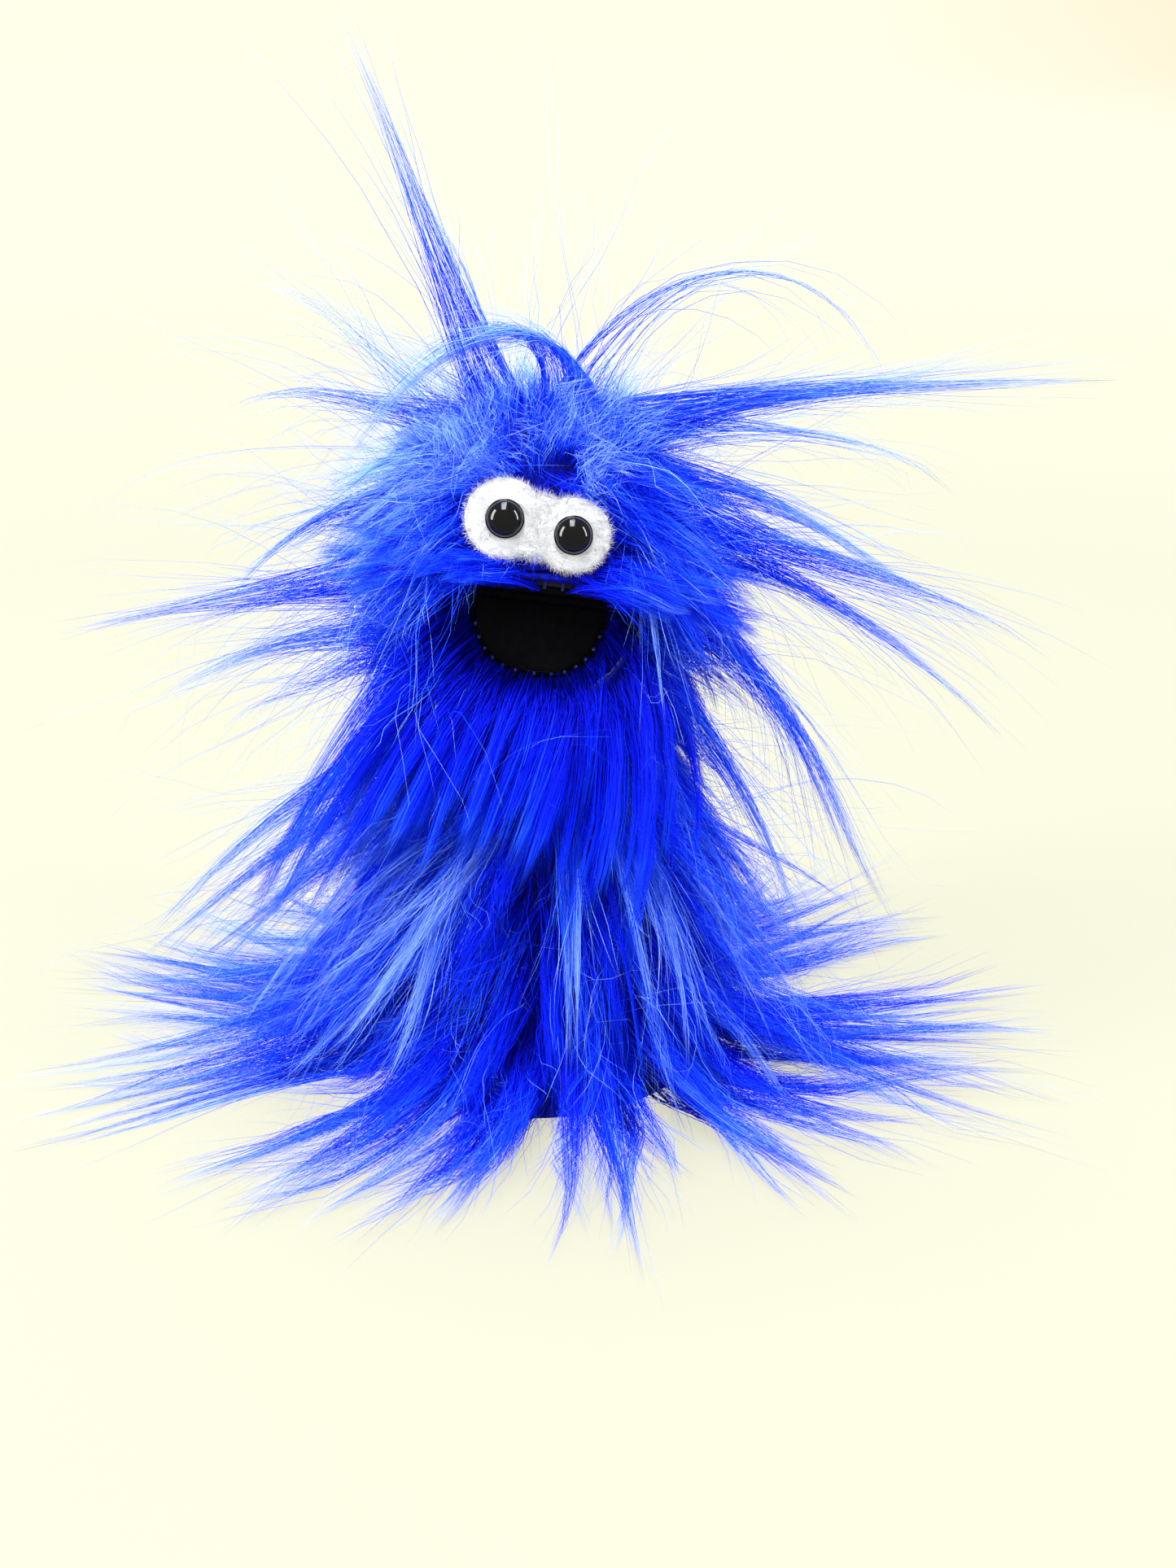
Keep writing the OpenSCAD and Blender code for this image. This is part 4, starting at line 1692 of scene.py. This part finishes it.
@dataclass
class Features:
    """The felt eye patch, the eyes and the felt of the mouth."""

    face: FaceFrames
    white: bpy.types.Material
    black: bpy.types.Material
    gloss: bpy.types.Material
    fur: Fur
    eye_r: float = 5 * MM
    bridge: float = 8.2 * MM
    middle: float = 0.42

    def patch_rim(self, angle: float) -> tuple:
        """The patch's edge: two round lobes and the full bridge between them.

        Args:
            angle: The direction from the patch's middle, in radians.

        Returns:
            The edge's x and y.
        """
        reach = [self.bridge]
        for side, lobe in zip((-1, 1), self.face.lobes):
            centre = side * self.face.eye_gap / 2
            inside = lobe**2 - (centre * math.sin(angle))**2
            if inside > 0:
                reach.append(max(centre * math.cos(angle) + math.sqrt(inside), 0))
        far = max(reach)
        soft = far * sum((r / far)**24 for r in reach)**(1 / 24)
        return soft * math.cos(angle), soft * math.sin(angle)

    def patch(self) -> None:
        """The white felt patch and the fibres that stand off it."""
        forward = self.face.eyes() @ Matrix.Rotation(math.radians(90), 4, "X")
        piece = pillow("eye_patch_felt", self.patch_rim, forward, 0.0, 2 * MM, self.white,
                       ragged=0.5 * MM, lumps=0.25 * MM)
        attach(piece, "head")
        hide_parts("eye_patch")
        fuzz = self._fuzz(forward)
        fuzz.data.materials.append(self.white)
        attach(fuzz, "head")

    def _fuzz(self, forward: Matrix) -> bpy.types.Object:
        """The patch's loose fibres, mostly along its edge.

        Args:
            forward: The patch's frame, with Z out of the face.

        Returns:
            The piece.
        """
        rng, count, steps = np.random.default_rng(SEED + 1), 3600, 3
        angle = rng.uniform(0, 2 * math.pi, count)
        rim = np.array([self.patch_rim(a) for a in angle])
        edge = rng.random(count) < 0.62
        share = np.where(edge, rng.uniform(0.93, 1.0, count), np.sqrt(rng.random(count)))
        level = np.where(edge, rng.uniform(0.3, 1.8, count), 1.95) * MM
        root = np.column_stack((rim * share[:, None], level))
        out = rim / np.linalg.norm(rim, axis=1, keepdims=True)
        heading = np.column_stack((out * np.where(edge, 1.0, 0.2)[:, None], np.where(edge, 0.1, 0.35)))
        heading += rng.normal(size=(count, 3)) * (0.7, 0.7, 0.25)
        heading /= np.linalg.norm(heading, axis=1, keepdims=True)
        t = np.linspace(0, 1, steps + 1)[:, None]
        length = (rng.uniform(0.6, 2.0, count) * MM)[:, None, None]
        curl = rng.normal(size=(count, 1, 3)) * 0.5 * MM
        p = root[:, None] + heading[:, None] * length * t + curl * t**2
        for side in (-1, 1):
            off = p - (side * self.face.eye_gap / 2, 0, 0)
            r = np.hypot(off[..., 0], off[..., 1])
            p[..., 2] = np.where(r < self.eye_r + 0.3 * MM, 0.5 * MM, p[..., 2])
        turn = np.array(forward)
        p = p @ turn[:3, :3].T + turn[:3, 3]
        strands = Strands(p, rng.uniform(0.035, 0.06, count) * MM, rng.random(count))
        shape = self.fur.shapes.setdefault(steps, FibreShape(steps))
        return shape.mesh("patch_fuzz", strands, rng)

    def eyes(self) -> None:
        """The two domed eyes, each with a bevelled rim and a post behind it."""
        for side, name in ((-1, "left"), (1, "right")):
            facing = self.face.eyes(side) @ Matrix.Rotation(math.radians(90), 4, "X")
            r = self.eye_r
            dome = [(0.93 * r * math.sin(a), 2.75 * MM + 3.3 * MM * math.cos(a))
                    for a in np.linspace(0, math.pi / 2, 22)]
            side_view = [(0, dome[0][1]), *dome[1:], (0.955 * r, 2.62 * MM), (0.985 * r, 2.66 * MM),
                         (r, 2.5 * MM), (r, 2.2 * MM), (0.97 * r, 2.1 * MM), (2 * MM, 2.1 * MM),
                         (2 * MM, -9.8 * MM), (1.6 * MM, -10 * MM), (0, -10 * MM)]
            piece = spun(f"domed_eye_{name}", side_view, facing, self.gloss, 72)
            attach(piece, "head")
            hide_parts(f"eye_{name}")

    def palates(self) -> None:
        """The black felt of the mouth: two palates and the rolled fold."""
        gap, thick = 0.6 * MM, 1.0 * MM
        for name, palate, body, z0, z1 in (
            ("upper_palate", self.face.upper(), "head", gap, gap + thick),
            ("lower_palate", self.face.lower(), "jaw", -gap - thick, -gap),
        ):
            centre = Matrix.Translation((0, -self.face.palate * self.middle, 0))
            piece = pillow(f"{name}_face", self._palate_rim, palate @ centre, z0, z1, self.black,
                           ragged=0.2 * MM, lumps=0.2 * MM)
            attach(piece, body)
            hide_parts(f"{name}_felt")
        self._fold()

    def _palate_rim(self, angle: float) -> tuple:
        """A palate's edge as seen from its middle.

        Args:
            angle: The direction in radians.

        Returns:
            The edge's x and y.
        """
        middle = -self.face.palate * self.middle
        c, s = math.cos(angle), math.sin(angle)
        low, high = 0.0, 30 * MM
        for _ in range(22):
            reach = (low + high) / 2
            x, y = reach * c, middle + reach * s
            ahead = max(-(y + self.face.start) / (self.face.palate - self.face.start), 0)
            inside = (abs(x) / self.face.half_width)**2.5 + ahead**2.5 < 1 and y < -self.face.start
            low, high = (reach, high) if inside else (low, reach)
        return low * c, low * s

    def _fold(self) -> None:
        """The roll of felt along the fold."""
        half = self.face.half_width

        def place(u: float, v: float) -> Vector:
            """A point on the fold's roll.

            Args:
                u: 0 at its left end, 1 at its right one.
                v: Its share of the way round the roll.

            Returns:
                The point.
            """
            along, turn = 2 * u - 1, 2 * math.pi * v
            r = 1.15 * MM * math.sqrt(max(0.0, 1 - abs(along)**14))
            r *= 1 + 0.06 * noise.noise((along * 9, math.cos(turn), math.sin(turn)))
            return self.face.fold() @ Vector((along * half, r * math.cos(turn), r * math.sin(turn)))

        piece = closed("felt_fold", warped(60, 20, place), self.black)
        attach(piece, "head")
        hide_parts("mouth_fold")

    def build(self) -> None:
        """Makes all of them."""
        self.patch()
        self.eyes()
        self.palates()


@dataclass
class Inside:
    """The stuffing, and the finishes of the pieces that keep their own shape."""

    form: ClothForm
    cloth: bpy.types.Material
    wall: float = 1.3 * MM

    def stuffing(self) -> None:
        """The crown's pad of loose fibre."""
        low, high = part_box("crown_stuffing")
        middle, size = (low + high) / 2, (high - low) / 2
        bm = bmesh.new()
        bmesh.ops.create_icosphere(bm, subdivisions=5, radius=1.0)
        for v in bm.verts:
            lump = 1 + 0.05 * noise.noise(v.co * 3) + 0.025 * noise.noise(v.co * 9)
            flat = 0.55 if v.co.z < 0 else 1.0
            v.co = Vector((v.co.x * size.x, v.co.y * size.y, v.co.z * size.z * flat)) * 0.93 * lump + middle
            room = max(float(self.form.radius(np.array(v.co.z + 3 * MM))) - 4 * MM, 1 * MM)
            across = math.hypot(v.co.x, v.co.y)
            if across > room:
                v.co.x, v.co.y = v.co.x * room / across, v.co.y * room / across
        stuffing = FeltFinish("stuffing", (0.55, 0.55, 0.52), (0.82, 0.82, 0.8), 0.001).build()
        piece = link("crown_pad", turned_out(bm), stuffing)
        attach(piece, "head")
        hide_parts("crown_stuffing")

    def seams(self) -> None:
        """The ridges where the cloth's back edges are sewn together."""
        for node, body in (("back_seam", "sleeve"), ("head_seam", "head")):
            low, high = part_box(node)
            z0, z1 = low.z, high.z

            def place(u: float, v: float) -> Vector:
                """A point on the ridge.

                Args:
                    u: 0 at its foot, 1 at its top.
                    v: Its share of the way round it.

                Returns:
                    The point.
                """
                z = z0 + (z1 - z0) * u
                turn = 2 * math.pi * v
                whip = 0.12 * MM * math.sin((z - z0) / (2.2 * MM) * 2 * math.pi + turn)
                end = math.sqrt(max(0.0, 1 - abs(2 * u - 1)**30))
                r = float(self.form.radius(np.array(z))) - self.wall - 0.75 * MM
                across, deep = (0.75 * MM + whip) * end, (0.6 * MM + whip) * end
                return Vector((across * math.cos(turn), r + deep * math.sin(turn), z))

            piece = closed(f"{node}_ridge", warped(180, 12, place), self.cloth)
            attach(piece, body)
            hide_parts(node)

    def dress(self) -> None:
        """Gives each piece that keeps its shape a better finish."""
        thread = RibbedFinish("thread", (0.006, 0.012, 0.10), (0.03, 0.06, 0.34), 2600.0).build()
        elastic = RibbedFinish("elastic", (0.008, 0.008, 0.01), (0.05, 0.05, 0.055), 900.0).build()
        # The board's finish is painted shade: near black instead of grey.
        board = BoardFinish().build()
        washer = PlasticFinish("washer_plastic", (0.72, 0.72, 0.68), 0.38).build()
        for material, nodes in (
            (thread, ("hem_stitches", "upper_lip_stitches", "lower_lip_stitches")),
            (elastic, ("finger_strap", "thumb_strap")),
            (board, ("upper_mouth_board", "lower_mouth_board")),
            (washer, ("eye_washer_left", "eye_washer_right")),
        ):
            for node in nodes:
                for slot in bpy.data.objects[node].material_slots:
                    slot.material = material

    def build(self) -> None:
        """Makes and dresses everything inside."""
        self.stuffing()
        self.seams()
        self.dress()


class Studio:
    """Floor, lights and camera."""

    elevation: float = 22.0
    distance: float = 0.555
    aim: tuple = (14.1 * MM, 0.0, 82.5 * MM)
    long_view: float = 44.0
    floor_flat: float = 7.0
    floor_bend: float = 3.0
    wall_top: float = 8.0

    def camera(self) -> None:
        """Sets the camera in front of the puppet, a little above it."""
        data = bpy.data.cameras.new("camera")
        data.sensor_width = 36.0
        data.lens = 18.0 / math.tan(math.radians(self.long_view / 2))
        data.clip_start, data.clip_end = 0.01, 20.0
        camera = bpy.data.objects.new("camera", data)
        bpy.context.scene.collection.objects.link(camera)
        up = math.radians(self.elevation)
        back = Vector((0, -math.cos(up), math.sin(up)))
        camera.location = Vector(self.aim) + back * self.distance
        camera.rotation_mode = "QUATERNION"
        camera.rotation_quaternion = (-back).to_track_quat("-Z", "Y")
        bpy.context.scene.camera = camera

    def floor(self) -> None:
        """Lays the round pale floor, which curves up to a wall far away on every side."""
        flat, bend = self.floor_flat, self.floor_bend
        angles = np.linspace(0, math.pi / 2, 13)
        arc = [(flat + bend * math.sin(a), bend - bend * math.cos(a)) for a in angles]
        bm = turned([(0.0, 0.0), *arc, (flat + bend, self.wall_top)], 96, 1e-5)
        bmesh.ops.reverse_faces(bm, faces=bm.faces[:])
        floor = link("floor", bm, TableFinish().build())
        floor.visible_diffuse = floor.visible_glossy = False

    def lamp(self, name: str, place: tuple, size: tuple, power: float, colour: tuple) -> None:
        """Hangs one soft oblong lamp that looks at the puppet.

        Args:
            name: The lamp's name.
            place: Where it hangs, in metres.
            size: Its width and height in metres.
            power: Its power in watts.
            colour: Its colour.
        """
        data = bpy.data.lights.new(name, "AREA")
        data.shape, data.energy, data.color = "RECTANGLE", power, colour
        data.size, data.size_y = size
        lamp = bpy.data.objects.new(name, data)
        lamp.location = place
        lamp.rotation_mode = "QUATERNION"
        lamp.rotation_quaternion = (Vector((0, 0, 0.12)) - Vector(place)).to_track_quat("-Z", "Y")
        bpy.context.scene.collection.objects.link(lamp)

    def light(self) -> None:
        """Sets the soft light and the colour handling."""
        world = bpy.data.worlds.new("studio")
        world.use_nodes = True
        background = world.node_tree.nodes["Background"]
        background.inputs["Color"].default_value = (1.0, 0.99, 0.95, 1.0)
        background.inputs["Strength"].default_value = 0.55
        bpy.context.scene.world = world
        white = (1.0, 0.995, 0.98)
        self.lamp("window_left", (-0.85, -0.35, 0.55), (0.30, 0.80), 19.0, white)
        self.lamp("window_top", (-0.05, 0.0, 1.15), (1.3, 0.36), 33.0, white)
        self.lamp("window_right", (0.85, -0.3, 0.5), (0.14, 0.7), 9.0, white)
        bpy.context.scene.view_settings.view_transform = "Standard"

    def build(self) -> None:
        """Makes the whole studio."""
        self.camera()
        self.floor()
        self.light()


def main() -> None:
    """Builds the puppet round its frame and logs each fur piece and the fur's triangle count."""
    logging.basicConfig(level=logging.INFO, format="%(message)s")
    form, face = ClothForm.measured(), FaceFrames()
    Studio().build()
    cloth = ClothFinish("backing_cloth", (0.001, 0.003, 0.04), (0.006, 0.02, 0.16)).build()
    Skins(form, face, cloth, FleeceFinish().build()).build()
    Inside(form, cloth).build()
    fur = Fur(form, face, FurFinish().build())
    for grow in (fur.skirt, fur.sleeve, fur.neck, fur.head, fur.topknot, fur.fluff, fur.wisps, fur.lips):
        grow()
    white = FeltFinish("white_felt", (0.50, 0.51, 0.53), (0.70, 0.71, 0.72), 0.0006).build()
    black = FeltFinish("black_felt", (0.0015, 0.0015, 0.002), (0.004, 0.004, 0.005)).build()
    gloss = PlasticFinish("eye_plastic", (0.002, 0.002, 0.002), 0.05, shine=0.3).build()
    Features(face, white, black, gloss, fur).build()
    LOG.info("long fur has %d triangles", fur.count)


if __name__ == "__main__":
    main()
